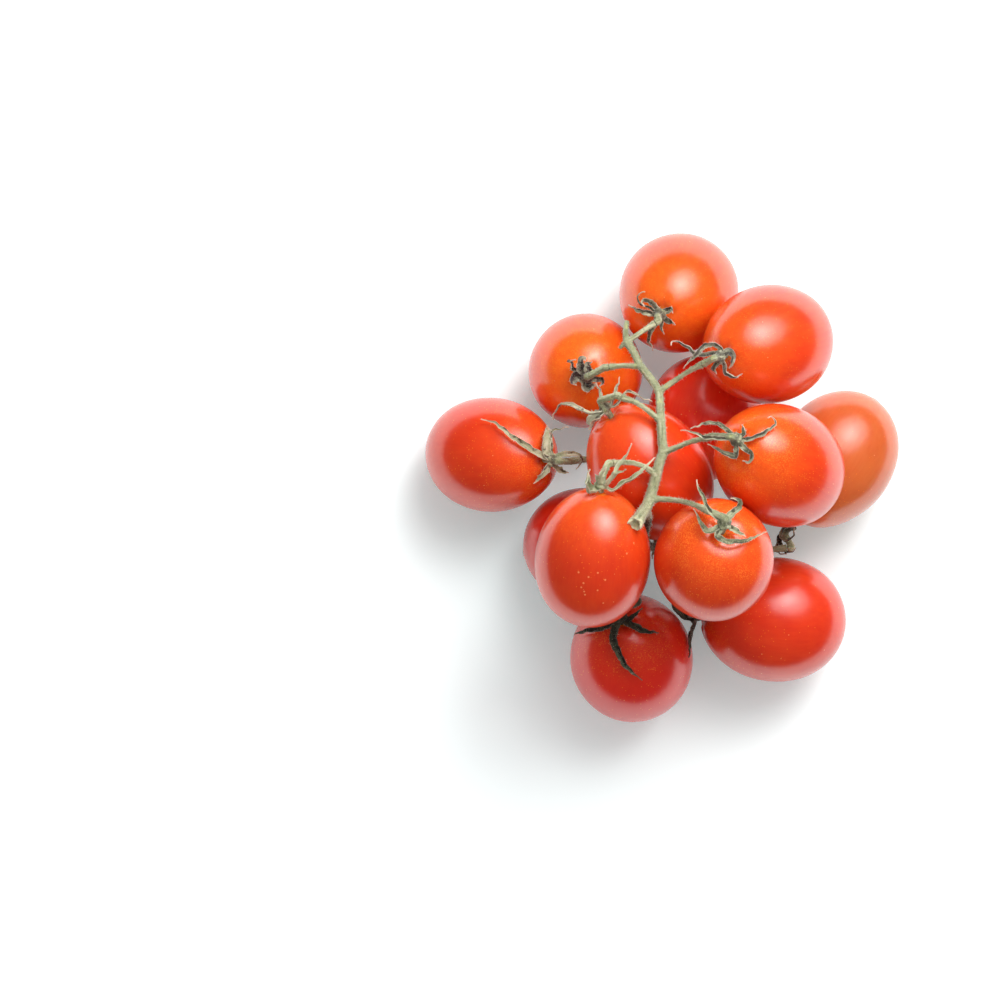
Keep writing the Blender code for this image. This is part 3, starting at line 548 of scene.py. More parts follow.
def skinPaint(fruit):
    number, dims = fruit.number, tomato["dims"]
    *shades, dust = skinTones[number]
    body, bright, shoulder = (rgb(*shade, dims) for shade in shades)

    def over(tone, share, shade):
        return paint.mix(share, tone, rgb(*tomato[shade], dims))

    paint = Paint(
        f"skin_{number:02d}", Subsurface_Weight=tomato["glow"], Subsurface_Radius=tomato["glowReach"],
        Subsurface_Scale=tomato["glowScale"], Coat_Weight=tomato["coat"],
        Coat_Roughness=tomato["coatRoughness"], Specular_IOR_Level=tomato["gloss"],
    )
    where = paint.place()
    along = paint.mark("along")
    grain = paint.mark("grain", "Vector")
    patches = paint.patches(where, *tomato["patches"])
    streaks = paint.patches(grain, *tomato["streaks"])
    share = tomato["patchShare"]
    tone = paint.mix(patches * share + streaks * (1 - share), body, bright)
    base, more = tomato["shoulderShare"]
    tone = paint.mix(along.between(*tomato["shoulderReach"]) * (base + streaks * more), tone, shoulder)
    # gold dust: a fine grain round the stem end, and loose dots in clouds further down
    cloud = paint.patches(where, *tomato["clouds"])
    fine = paint.patches(where, *tomato["powder"])
    base = tomato["powderCloud"]
    powder = fine * along.between(*tomato["powderReach"]) * (base + cloud * (1 - base)) * dust
    tone = over(tone, powder * tomato["powderShare"], "dust")
    dotAway = paint.cells(where, tomato["dotScale"])
    cellTone = paint.cells(where, tomato["dotScale"], "Color")
    pick = paint.node("ShaderNodeSeparateColor", None, {"Color": cellTone}, "Red")
    more, least = tomato["dotThick"]
    base = tomato["dotCloud"]
    thick = (along.between(*tomato["dotReach"]) * more + least) * (base + cloud * (1 - base)) * dust
    dots = (1 - dotAway.between(*tomato["dotSize"])) * (pick > 1 - thick * tomato["dotPick"])
    tone = over(tone, dots * tomato["dotShare"], "dust")
    # a few pale pores, a brown blossom scar and a yellow collar in the dimple
    pores = 1 - paint.cells(where, tomato["poreScale"]).between(*tomato["poreSize"])
    tone = over(tone, pores * tomato["poreShare"], "pore")
    for x, y in freckles.get(number, ()):
        spot = topOfSkin(fruit, x + shift[0], y + shift[1]) * mm
        away = paint.measure("DISTANCE", where, spot)
        freckle = 1 - away.between(*(size * mm for size in tomato["freckle"]))
        tone = over(tone, freckle * tomato["freckleShare"], "pore")
    tone = over(tone, paint.mark("scar").between(*tomato["scarEdge"]), "scar")
    collar = paint.mark("hollow").between(*tomato["collarEdge"])
    tone = over(tone, collar * tomato["collarShare"], "collar")
    paint.colour(tone)
    paint.roughness(tomato["roughness"] + paint.noise(where, tomato["sheenScale"]) * tomato["sheenSpread"])
    height = paint.noise(where, tomato["bumpScale"]) + dots * tomato["dotBump"]
    paint.bump(height, tomato["bump"], tomato["bumpDepth"])
    return paint.material


# the vine

vine = {
    "trunk": 1.05, "base": 1.45, "branch": 0.95, "stalk": 0.75, "knuckle": 1.15, "knuckleGap": 0.4,
    "sides": 20, "step": 0.35, "ridges": 5, "ridgeDepth": 0.05, "ridgeTwist": 0.02, "voxel": 0.16,
    "capRings": ((0.72, 0.25), (0.4, 1.0), (0.02, 0.9)), "steep": 0.9, "ease": (0.5, 3),
    "hollowEnds": {"trunk": (0.9, 0.0), "stub": (0.0, 0.35), "stalk": (0.0, 0.1)},
    "bumps": 0.06, "bumpSize": 1.0, "fineBumps": (0.6, 0.45),
    "cutDepth": 1.5, "rag": 0.8, "ragSize": 1.5,
    # painted shade: the stalks and the stretch of branch that are painted dark for the shade they lie in
    "darkStalks": (8, 9), "darkFrom": 3, "darkStep": 0.5, "darkReach": 1.9, "darkFade": 0.6,
    "trunkRadii": (
        (0.0, 1.8), (0.03, 1.62), (0.07, 1.45), (0.25, 1.3), (0.6, 1.05), (0.95, 0.9), (1.0, 1.15),
    ),
    "branchRadii": ((0, 1.1), (0.5, 0.95), (1, 0.95)),
    "stalkRadii": ((0, 1.1), (0.12, 0.72), (0.5, 0.62), (0.8, 0.66), (0.93, 0.86), (1, 0.94)),
    "stubRadii": ((0, 0.85), (0.5, 0.66), (0.9, 0.66), (1, 0.5)),
    "spurRadii": ((0, 0.8), (0.7, 0.55), (1, 0.3)),
}


def tubeMesh(name, route, radii, hollowEnds=(0.0, 0.0), seed=1):
    # a ridged stem along a route; a hollow end has its pith sunk in below the rim
    route = np.array(smoothRoute(route, vine["step"]))
    count, sides = len(route), vine["sides"]
    ahead = unit(np.gradient(route, axis=0))
    upright = abs(ahead[0][2]) >= vine["steep"]
    across = np.cross((1.0, 0.0, 0.0) if upright else (0.0, 0.0, 1.0), ahead[0])
    shares = np.linspace(0, 1, count)
    size = np.interp(shares, *zip(*radii))
    turns = np.arange(sides) / sides * 2 * math.pi
    points = []
    for index in range(count):
        across = unit(across - ahead[index] * (across @ ahead[index]))
        over = np.cross(ahead[index], across)
        ridge = 1 + vine["ridgeDepth"] * np.cos(vine["ridges"] * turns + index * vine["ridgeTwist"] + seed)
        ring = np.outer(np.cos(turns) * ridge, across) + np.outer(np.sin(turns) * ridge, over)
        points.append(route[index] + ring * size[index])
    rings = list(points)
    for first, sink in zip((True, False), hollowEnds):
        end = rings[0] if first else rings[-1]
        middle = end.mean(axis=0)
        inward = (ahead[0] if first else -ahead[-1]) * sink
        caps = [middle + (end - middle) * share + inward * depth for share, depth in vine["capRings"]]
        rings = caps[::-1] + rings if first else rings + caps
    faces = gridFaces(len(rings), sides, True)
    faces.append(tuple(range(sides))[::-1])
    last = (len(rings) - 1) * sides
    faces.append(tuple(last + side for side in range(sides)))
    return toObject(name, np.concatenate(rings), faces)


def grownTogether(name, pieces, voxel):
    # several closed stems as one skin, with soft crotches where they meet
    with bpy.context.temp_override(active_object=pieces[0], selected_editable_objects=pieces):
        bpy.ops.object.join()
    whole = pieces[0]
    whole.name = name
    whole.data.name = name
    skin = whole.modifiers.new("skin", "REMESH")
    skin.mode = "VOXEL"
    skin.voxel_size = voxel * mm
    ease = whole.modifiers.new("ease", "SMOOTH")
    ease.factor, ease.iterations = vine["ease"]
    return baked(whole)


def roughen(thing, depth, size, seed):
    # coarse bumps and finer ones over them
    points, normals = meshPoints(thing.data), readPoints(thing.data, "normal")
    fineDepth, fineSize = vine["fineBumps"]
    waver = wobble(points, size, seed) + fineDepth * wobble(points, size * fineSize, seed + 1)
    setPoints(thing.data, points + normals * (waver * depth)[:, None])


def makeVine():
    pieces = [
        tubeMesh(name, routes[name], vine[name + "Radii"], vine["hollowEnds"].get(name, (0.0, 0.0)), seed)
        for seed, name in enumerate(("trunk", "stub", "spur", "branch"), 1)
    ]
    for number, route in routes["stalks"].items():
        pieces.append(tubeMesh("stalk", route, vine["stalkRadii"], vine["hollowEnds"]["stalk"], number))
    whole = grownTogether("vine_skin", pieces, vine["voxel"])
    roughen(whole, vine["bumps"], vine["bumpSize"], 3)
    stemRoutes = [routes[name] for name in ("trunk", "stub", "spur", "branch")]
    run = markStems(whole, stemRoutes + list(routes["stalks"].values()))
    cut = np.clip(1 - run / vine["cutDepth"], 0, 1)
    # painted shade: the branch under the fruits is painted dark for the shade it lies in, and so are two of its
    # stalks
    points = meshPoints(whole.data)
    darkRoutes = [routes["branch"][vine["darkFrom"]:]]
    darkRoutes += [routes["stalks"][number] for number in vine["darkStalks"]]
    away = np.full(len(points), vine["darkReach"] * 2)
    for route in darkRoutes:
        for place in smoothRoute(route, vine["darkStep"]):
            away = np.minimum(away, np.linalg.norm(points - place, axis=1))
    dark = np.clip((vine["darkReach"] - away) / vine["darkFade"], 0, 1)
    addMarks(whole.data, stem=np.ones(len(run)), cut=cut, dark=dark)
    # the torn end is ragged
    onward = unit(routes["trunk"][1] - routes["trunk"][0])
    torn = wobble(points, vine["ragSize"], 8) * np.minimum(1, cut * 2) * vine["rag"]
    setPoints(whole.data, points + np.outer(torn, onward))
    whole.data.materials.append(greenPaint("vine_skin", **greens["vine"]))
    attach(whole, "root")
    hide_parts("vine")
    return whole


# green skins: dark and light streaks, dried patches, painted shade on the blades' inner sides, and how far
# those spread

greens = {
    "vine": {
        "deep": (104, 110, 78), "body": (154, 157, 122), "pale": (202, 199, 168), "dry": (98, 80, 62),
        "spread": 0.08,
    },
    "edge": (226, 218, 196), "thread": (232, 196, 176), "cut": (224, 218, 178), "sap": (206, 206, 120),
    # the last tone here is the painted shade on shaded stretches of vine and calyx cores
    "dark": (44, 46, 34),
    "paleShare": 0.85, "fleckShare": 0.45, "mottleShare": 0.5, "sapShare": 0.4, "edgeShare": 0.6,
    "threadShare": 0.75, "cutShare": 0.85, "darkShare": 0.85, "dryAndShadeShare": 0.85, "stemKeep": 0.6,
    "dryAndShadeStart": (0.76, 0.30), "dryAndShadeFade": 0.12, "troughShade": (0.04, 0.05), "flankShade": 0.36, "heartDryAndShade": 0.6,
    "grainStep": 0.3, "grainSide": (0.31, 0.17, 0.93), "grainStretch": 0.16, "routeApart": 40,
    "grainNoise": (1100.0, 4.0, 0.6), "fleckNoise": (2600.0, 3.0, 0.7), "patchNoise": (560.0, 4.0, 0.65),
    "mottles": (1250.0, 3.0, 0.6, 0.54, 0.68), "bodyRange": (0.3, 0.52), "paleRange": (0.5, 0.72),
    "fleckRange": (0.52, 0.72), "sapRange": (0.58, 0.7), "edgeRange": (0.78, 1.0), "threadRange": (0.74, 0.96),
    "troughEdges": (0.45, 0.95), "troughEnd": (0.8, 1.0), "flankRange": (-0.25, 0.25), "flankEnd": (0.7, 0.95),
    "roughness": 0.66, "roughFleck": 0.2, "gloss": 0.22, "glow": 0.05, "glowScale": 0.0008,
    "fuzz": 0.25, "fuzzRoughness": 0.45, "bump": 0.6, "bumpDepth": 0.00016, "bumpParts": (0.7, 0.5),
}
# each calyx: the same four tones, how much of it is dried and painted in shade, and how pale its edges and
# threads are
calyxTones = {
    1: ((94, 98, 68), (156, 160, 128), (208, 206, 176), (58, 50, 40), 0.42, 0.8),
    2: ((110, 114, 80), (166, 168, 132), (214, 210, 178), (84, 66, 50), 0.26, 0.7),
    3: ((98, 100, 76), (160, 162, 134), (208, 206, 180), (56, 46, 40), 0.56, 0.9),
    4: ((112, 112, 82), (168, 166, 136), (212, 208, 188), (72, 50, 42), 0.46, 0.8),
    5: ((104, 104, 86), (168, 166, 144), (208, 204, 184), (62, 54, 52), 0.54, 0.9),
    6: ((92, 78, 70), (146, 138, 118), (204, 196, 172), (62, 36, 42), 0.66, 0.7),
    7: ((98, 98, 74), (160, 158, 130), (204, 198, 170), (58, 48, 42), 0.58, 0.9),
    # painted shade: calyxes 8 and 9 lie in deep shade, so their tones are painted near black and their pale
    # edges faint
    8: ((38, 44, 34), (62, 68, 52), (96, 98, 76), (34, 30, 26), 0.45, 0.15),
    9: ((42, 34, 28), (64, 50, 40), (96, 84, 64), (32, 22, 20), 0.70, 0.1),
    10: ((56, 50, 40), (112, 106, 82), (164, 156, 128), (34, 22, 22), 0.78, 0.4),
    11: ((100, 104, 78), (156, 158, 128), (200, 196, 168), (56, 44, 38), 0.40, 0.8),
    12: ((118, 118, 88), (172, 168, 136), (212, 206, 182), (58, 44, 36), 0.40, 0.8),
    13: ((100, 104, 78), (156, 158, 128), (200, 196, 168), (56, 44, 38), 0.40, 0.8),
}


def runLengths(line):
    # how far each place on a line is from its start
    return np.concatenate([[0], np.cumsum(np.linalg.norm(np.diff(line, axis=0), axis=1))])


def markStems(thing, stemRoutes):
    # marks each point with a grain along the nearest stem, and returns how far along the stems it lies
    lines, runs, sides, overs = [], [], [], []
    for route in stemRoutes:
        line = np.array(smoothRoute(route, greens["grainStep"]))
        ahead = unit(np.gradient(line, axis=0))
        side = unit(np.cross(ahead, greens["grainSide"]))
        lines.append(line)
        runs.append(runLengths(line) + greens["routeApart"] * len(runs))
        sides.append(side)
        overs.append(np.cross(ahead, side))
    line, run, side, over = (np.concatenate(column) for column in (lines, runs, sides, overs))
    tree = KDTree(len(line))
    for index, place in enumerate(line):
        tree.insert(place, index)
    tree.balance()
    points = meshPoints(thing.data)
    nearest = np.array([tree.find(point)[1] for point in points])
    offset = points - line[nearest]
    parts = [(offset * way[nearest]).sum(axis=1) for way in (side, over)]
    addMarks(thing.data, grain=np.stack(parts + [run[nearest] * greens["grainStretch"]], axis=1) * mm)
    return run[nearest]


def greenPaint(name, deep, body, pale, dry, spread, fringe=1.0):
    paint = Paint(
        name, Specular_IOR_Level=greens["gloss"], Subsurface_Weight=greens["glow"],
        Subsurface_Scale=greens["glowScale"], Sheen_Weight=greens["fuzz"],
        Sheen_Roughness=greens["fuzzRoughness"],
    )
    where = paint.place()
    grain = paint.mark("grain", "Vector")
    marks = ("reach", "edges", "inside", "cut", "heart", "flank", "stem", "dark")
    reach, edges, inside, cut, heart, flank, stem, dark = (paint.mark(mark) for mark in marks)
    deep, body, pale = (
        paint.mix(stem, rgb(*own), rgb(*greens["vine"][shade]))
        for own, shade in ((deep, "deep"), (body, "body"), (pale, "pale"))
    )
    streaks = paint.noise(grain, *greens["grainNoise"])
    tone = paint.mix(streaks.between(*greens["bodyRange"]), deep, body)
    tone = paint.mix(streaks.between(*greens["paleRange"]) * greens["paleShare"], tone, pale)
    fleck = paint.noise(where, *greens["fleckNoise"])
    tone = paint.mix(fleck.between(*greens["fleckRange"]) * greens["fleckShare"], tone, pale)
    tone = paint.mix(paint.patches(where, *greens["mottles"]) * greens["mottleShare"], tone, deep)
    # yellower patches on stems, dried patches at random, and painted shade in each blade's trough, on one flank
    # and in the star's middle, all laid in the one dry tone
    patch = paint.noise(where, *greens["patchNoise"])
    sap = (1 - patch).between(*greens["sapRange"]) * stem
    tone = paint.mix(sap * greens["sapShare"], tone, rgb(*greens["sap"]))
    trough = inside * (1 - edges.between(*greens["troughEdges"])) * (1 - reach.between(*greens["troughEnd"]))
    troughBase, troughMore = greens["troughShade"]
    shaded = flank.between(*greens["flankRange"]) * (1 - reach.between(*greens["flankEnd"]))
    shaded = shaded * spread * greens["flankShade"]
    drynessAndShade = patch + trough * (troughBase + spread * troughMore) + shaded + heart * spread * greens["heartDryAndShade"]
    start = greens["dryAndShadeStart"][0] - spread * greens["dryAndShadeStart"][1]
    driedAndShaded = drynessAndShade.between(start, start + greens["dryAndShadeFade"])
    tone = paint.mix(driedAndShaded * (greens["dryAndShadeShare"] - stem * greens["stemKeep"]), tone, rgb(*dry))
    # pale edges and threads, then the cut end and the stretches painted dark as painted shade
    layers = (
        (edges.between(*greens["edgeRange"]) * greens["edgeShare"] * fringe, "edge"),
        (reach.between(*greens["threadRange"]) * greens["threadShare"] * fringe, "thread"),
        (cut * greens["cutShare"], "cut"), (dark * greens["darkShare"], "dark"),
    )
    for share, shade in layers:
        tone = paint.mix(share, tone, rgb(*greens[shade]))
    paint.colour(tone)
    paint.roughness(greens["roughness"] + fleck * greens["roughFleck"])
    streakBump, fleckBump = greens["bumpParts"]
    paint.bump(streaks * streakBump + fleck * fleckBump, greens["bump"], greens["bumpDepth"])
    return paint.material


# calyxes: the width of each sepal, then points along it as x, y, z from the fruit's stem end

sepalPoints = {
    1: (
        (1.5, (-3.5, 3.5, 1.8), (-4.7, 5.9, 2.8), (-5.8, 8.3, 3.0), (-6.4, 9.7, 2.6), (-6.4, 11.3, 1.6)),
        (2.4, (1.2, 2.4, 1.0), (3.3, 4.1, 0.5), (3.8, 5.8, 1.2), (2.8, 6.8, 2.4), (1.4, 6.7, 3.0)),
        (1.9, (1.4, -0.3, 1.0), (3.3, -1.7, 0.4), (4.7, -2.9, -0.6)),
        (1.9, (-3.1, -1.3, 1.0), (-4.6, -0.3, 0.8), (-5.8, 2.2, 0.2), (-7.1, 4.2, 0.2)),
        (1.9, (-1.6, -2.7, 0.8), (0.8, -4.0, 0.4), (4.0, -3.8, 0.0), (7.5, -2.5, -1.2), (10.4, -1.3, -3.4)),
    ),
    2: (
        (3.1, (-2.0, -1.8, 1.0), (-3.3, 0.1, 2.4), (-3.5, 2.8, 4.0), (-2.8, 5.3, 5.0)),
        (3.1, (-0.3, 2.0, 2.6), (0.2, 4.0, 4.2), (1.2, 5.9, 5.4)),
        (1.8, (1.5, 1.6, 2.4), (3.0, 3.8, 4.4), (5.1, 7.2, 5.8), (6.6, 9.6, 6.2), (7.2, 11.5, 6.0)),
        (2.1, (2.7, 0.1, 1.0), (5.2, 1.7, 1.6), (8.7, 3.8, 1.4), (11.3, 6.2, 0.0), (13.2, 8.2, -1.2)),
        (1.2, (2.0, 2.2, 1.4), (3.6, 3.9, 2.0), (5.1, 4.7, 1.8), (6.0, 5.3, 2.8)),
    ),
    3: (
        (1.9, (-0.6, -3.5, 0.8), (-3.2, -2.9, 0.4), (-5.4, -1.6, -0.2), (-7.7, -0.5, -1.2)),
        (1.4, (-2.4, 2.2, 1.8), (-4.8, 4.0, 2.4), (-7.7, 4.1, 2.0), (-10.3, 3.5, 1.2), (-11.9, 3.0, 0.4)),
        (1.5, (-2.9, 0.5, 2.6), (-6.8, 0.6, 3.2), (-10.1, 1.5, 2.4), (-12.5, 2.4, 1.6), (-14.0, 2.6, 0.8)),
        (1.4, (2.8, 0.1, 0.8), (5.1, 1.0, 1.0), (7.4, 2.7, 0.8), (8.6, 4.4, 0.6), (7.8, 5.8, 1.4),
         (6.6, 5.8, 2.2)),
        (2.0, (1.5, -1.9, 1.6), (2.9, -3.2, 1.4), (2.7, -4.6, 0.6), (1.3, -4.5, 0.2)),
        (1.8, (1.0, 1.7, 2.2), (1.1, 3.1, 3.0), (0.2, 4.0, 3.8)),
    ),
    4: (
        (1.4, (-0.4, -0.7, 1.2), (-1.2, 1.1, 1.4), (-1.7, 4.0, -1.0), (-2.2, 6.1, -4.0), (-3.0, 7.7, -7.5)),
        (1.3, (0.5, 2.0, 1.4), (1.2, 4.1, 1.4), (2.1, 6.7, 0.8), (2.9, 9.0, 0.0)),
        (1.2, (2.0, 2.0, 1.4), (3.4, 4.1, 1.8), (4.6, 5.1, 2.0), (6.0, 4.9, 1.8), (7.6, 3.9, 1.4),
         (10.8, 2.9, 0.8)),
        (1.5, (-2.5, 0.2, 1.8), (-5.0, -0.1, 1.9), (-7.6, 1.2, 1.2), (-10.0, 2.2, -0.4), (-11.8, 2.0, -2.5),
         (-13.3, 0.2, -5.0), (-13.7, -1.7, -7.0)),
        (5.4, (-2.2, -1.2, 0.4), (-4.0, -1.9, 0.2), (-4.3, -3.3, -0.8), (-3.4, -4.4, -2.0)),
    ),
    5: (
        (1.8, (-0.4, 1.4, 1.6), (-1.9, 2.7, 2.4), (-3.9, 2.8, 2.8), (-5.6, 1.3, 2.8), (-7.3, -0.6, 2.2),
         (-8.7, -1.9, 1.4), (-9.6, -3.2, 0.4)),
        (1.4, (-2.3, 0.8, 0.6), (-4.9, 0.1, 0.2), (-6.8, 0.7, 0.0), (-8.6, 2.2, 0.0), (-10.7, 3.4, 0.4),
         (-12.2, 3.6, 1.0), (-13.0, 2.5, 1.6)),
        (2.0, (1.4, 1.1, 1.8), (2.5, -0.1, 1.6), (2.6, -1.5, 0.8), (1.8, -2.7, 0.2)),
        (1.5, (0.3, -2.0, 0.8), (0.7, -3.6, 0.2), (1.9, -4.5, 0.0), (3.4, -4.9, 0.2), (4.7, -4.3, 1.0)),
        (1.9, (-1.5, -2.0, 0.2), (-2.2, -3.2, -0.2), (-1.3, -4.4, -1.0)),
    ),
    6: (
        (1.5, (-2.3, 1.1, 0.8), (-4.1, 2.0, 1.2), (-4.8, 3.3, 2.2), (-4.0, 4.2, 3.0), (-2.9, 3.7, 3.4)),
        (3.4, (-1.1, 1.6, 1.4), (-2.0, 2.9, 2.6), (-1.4, 4.1, 3.6), (-0.2, 3.3, 4.2)),
        (3.2, (-1.8, -0.4, 0.8), (-3.4, -0.4, 0.8), (-3.6, -1.7, 1.4), (-2.4, -2.6, 2.0)),
        (3.6, (-0.3, -1.5, 0.8), (-0.2, -2.9, 0.8), (1.1, -3.2, 1.4), (2.1, -2.2, 2.4)),
        (2.2, (1.7, -0.9, 0.8), (3.2, -0.6, 0.6), (3.9, -1.6, 1.0), (3.1, -2.7, 1.8)),
        (2.8, (0.4, 1.1, 2.0), (0.1, 2.4, 3.2), (1.1, 3.1, 3.8)),
    ),
    7: (
        (1.7, (-1.0, 1.1, 1.2), (-2.4, 2.5, 1.6), (-3.9, 3.1, 2.4), (-5.0, 2.3, 3.2), (-4.4, 1.2, 4.0)),
        (0.9, (-2.8, 1.3, 0.9), (-4.8, 1.9, 1.2), (-5.9, 3.4, 2.4), (-5.4, 4.7, 3.4), (-4.0, 5.0, 4.0)),
        (1.8, (-1.8, -0.4, 0.9), (-3.8, 0.2, 0.9), (-5.8, 0.9, 0.6), (-8.1, 1.9, 0.0)),
        (2.0, (1.6, 0.7, 1.4), (2.6, 1.2, 2.2), (2.8, -0.3, 3.0)),
        (1.9, (1.2, -1.5, 0.9), (2.5, -2.2, 0.9), (3.7, -3.1, 1.4)),
        (1.7, (-0.9, -2.2, 0.6), (-2.1, -3.8, 0.0), (-2.8, -6.5, -1.2), (-1.6, -9.0, -5.0)),
        (1.1, (0.2, -2.3, 0.8), (0.2, -3.8, 0.4), (1.0, -5.4, 0.6)),
    ),
    8: (
        (2.3, (-2.4, -1.2, 0.8), (-4.8, -2.3, 0.0), (-8.2, -2.8, -2.2), (-11.7, -4.0, -6.5)),
        (2.3, (1.9, -1.2, 1.9), (4.4, -2.4, 2.2), (7.2, -3.0, 1.7), (9.4, -3.2, 0.7)),
        (2.9, (-1.7, -2.9, 2.2), (-1.8, -5.1, 2.7), (-0.8, -7.9, 3.0), (1.1, -11.0, 2.7), (3.0, -13.1, 1.8),
         (5.0, -14.5, 0.6)),
        (1.9, (-2.1, 1.6, 0.6), (-3.8, 3.0, -0.6), (-5.5, 4.2, -2.8)),
        (1.6, (2.1, 0.2, 1.2), (3.6, 1.4, 1.4), (5.1, 2.9, 1.8)),
    ),
    9: (
        (2.2, (-1.4, -1.2, 2.4), (-2.2, -3.4, 4.0), (-3.2, -5.7, 5.4), (-4.3, -7.9, 6.6), (-5.0, -9.8, 7.2)),
        (2.1, (-2.8, 2.1, 1.6), (-3.8, 4.4, 2.2), (-4.3, 5.9, 2.4)),
        (2.0, (-2.9, 1.2, 4.4), (-2.6, 2.8, 8.0)),
        (2.0, (-2.5, 0.7, -3.6), (-2.3, 1.8, -7.0)),
    ),
    10: (
        (1.2, (-2.7, -1.8, 2.4), (-3.4, -4.0, 3.4), (-2.2, -5.3, 4.2), (-0.5, -3.5, 4.4), (-0.2, -1.5, 3.8)),
        (1.5, (-2.4, -3.6, -1.8), (-3.4, -6.0, -2.2), (-2.6, -7.9, -1.6), (-0.9, -8.2, -0.6), (0.6, -7.4, 0.4)),
        (1.3, (-3.6, -4.4, -2.8), (-4.4, -7.4, -3.0), (-3.7, -9.6, -1.4), (-2.2, -9.2, -0.4)),
        (2.2, (-3.2, -0.3, -1.0), (-5.2, 1.5, -1.6), (-6.6, 2.8, -2.4)),
    ),
    12: (
        (2.0, (-2.4, 1.5, 3.2), (-5.9, 3.8, 4.4), (-9.0, 5.9, 4.3), (-11.8, 8.1, 3.1), (-14.1, 9.7, 1.9),
         (-16.7, 10.4, 1.1)),
        (3.8, (-0.8, 2.0, 2.0), (-0.9, 4.2, 1.6), (-0.5, 6.5, 0.0), (-0.1, 8.6, -3.3)),
        (1.1, (0.8, 3.2, 1.4), (0.5, 5.8, -0.4), (1.3, 7.6, -2.0), (3.2, 7.7, -2.6), (5.5, 8.3, -2.6)),
        (1.8, (1.6, 0.6, 1.4), (3.6, 1.3, 1.6), (5.8, 1.6, 1.0), (7.7, 1.1, 0.0), (8.3, -0.3, -1.4),
         (6.9, -1.8, -2.6)),
        (2.4, (-0.7, -2.0, 1.4), (-1.9, -4.0, 1.5), (-3.7, -6.0, 1.5)),
        (2.0, (1.6, -1.5, 0.6), (3.4, -2.9, -0.4), (5.3, -3.3, -2.0)),
    ),
}
calyx = {
    "discRadius": 1.75, "discHeight": 0.95, "discLift": 1.75, "discRings": 12, "discSides": 24,
    "discStar": 0.08, "root": 1.0, "reach": 7.0, "rise": 0.7, "hiddenWidth": 2.2, "hiddenSway": 12,
    "hiddenReach": (0.85, 1.1), "step": 2.6, "fineStep": 0.2, "clearance": 0.9, "skinClearance": 0.2,
    "outline": ((0.0, 0.8), (0.15, 1.0), (0.4, 1.02), (0.65, 0.72), (0.82, 0.4), (0.92, 0.2), (1.0, 0.1)),
    "rows": 44, "lanes": 11, "thread": 0.15, "thickness": 0.30, "edge": 0.12, "thinning": 0.6,
    "thinnest": 0.05, "vein": 0.14, "veinWidth": 0.18, "fold": 0.62, "foldRange": (0.7, 1.35),
    "opening": (0.35, 1.6), "leanIn": 0.9, "leanUp": 1.35, "twist": 0.75, "frill": 0.18,
    "frillWaves": (2.0, 3.2), "crumple": 0.20, "crumpleSize": 1.4, "crumpleStart": 2.5,
    "sheetCrumple": 0.6, "swaySize": 1.6, "levelling": 0.12,
    "ragged": {6: 2.4, 9: 0.4, 10: 1.3},
    "seed": 7, "voxel": 0.14, "narrow": 0.84, "nicks": 0.16, "nickSize": 1.0,
    "footRadii": ((0.0, 0.86), (0.07, 0.96), (0.22, 0.84), (0.6, 0.82), (0.85, 0.94), (1.0, 1.3)),
    "nubRadii": ((0.0, 1.0), (1.0, 0.7)), "nubClearance": 0.2,
    "neck": 0.9, "footRise": 2.2, "footStep": 1.6, "groove": 0.12, "knuckleClearance": 0.3,
    "bumps": 0.06, "bumpSize": 0.9, "heartReach": 1.6,
}


def calyxFoot(fruit):
    return fruit.stemEnd() + fruit.axis * calyx["discLift"]


def hiddenSepals(fruit, draw):
    sepals = []
    for index in range(5):
        turn = math.radians(72 * index + draw.uniform(-calyx["hiddenSway"], calyx["hiddenSway"]))
        out = fruit.side * math.cos(turn) + fruit.up * math.sin(turn)
        reach = calyx["reach"] * draw.uniform(*calyx["hiddenReach"])
        bend = out * reach / 2 + fruit.axis * calyx["rise"]
        sepals.append((calyx["hiddenWidth"], bend, out * reach - fruit.axis * calyx["rise"]))
    return sepals


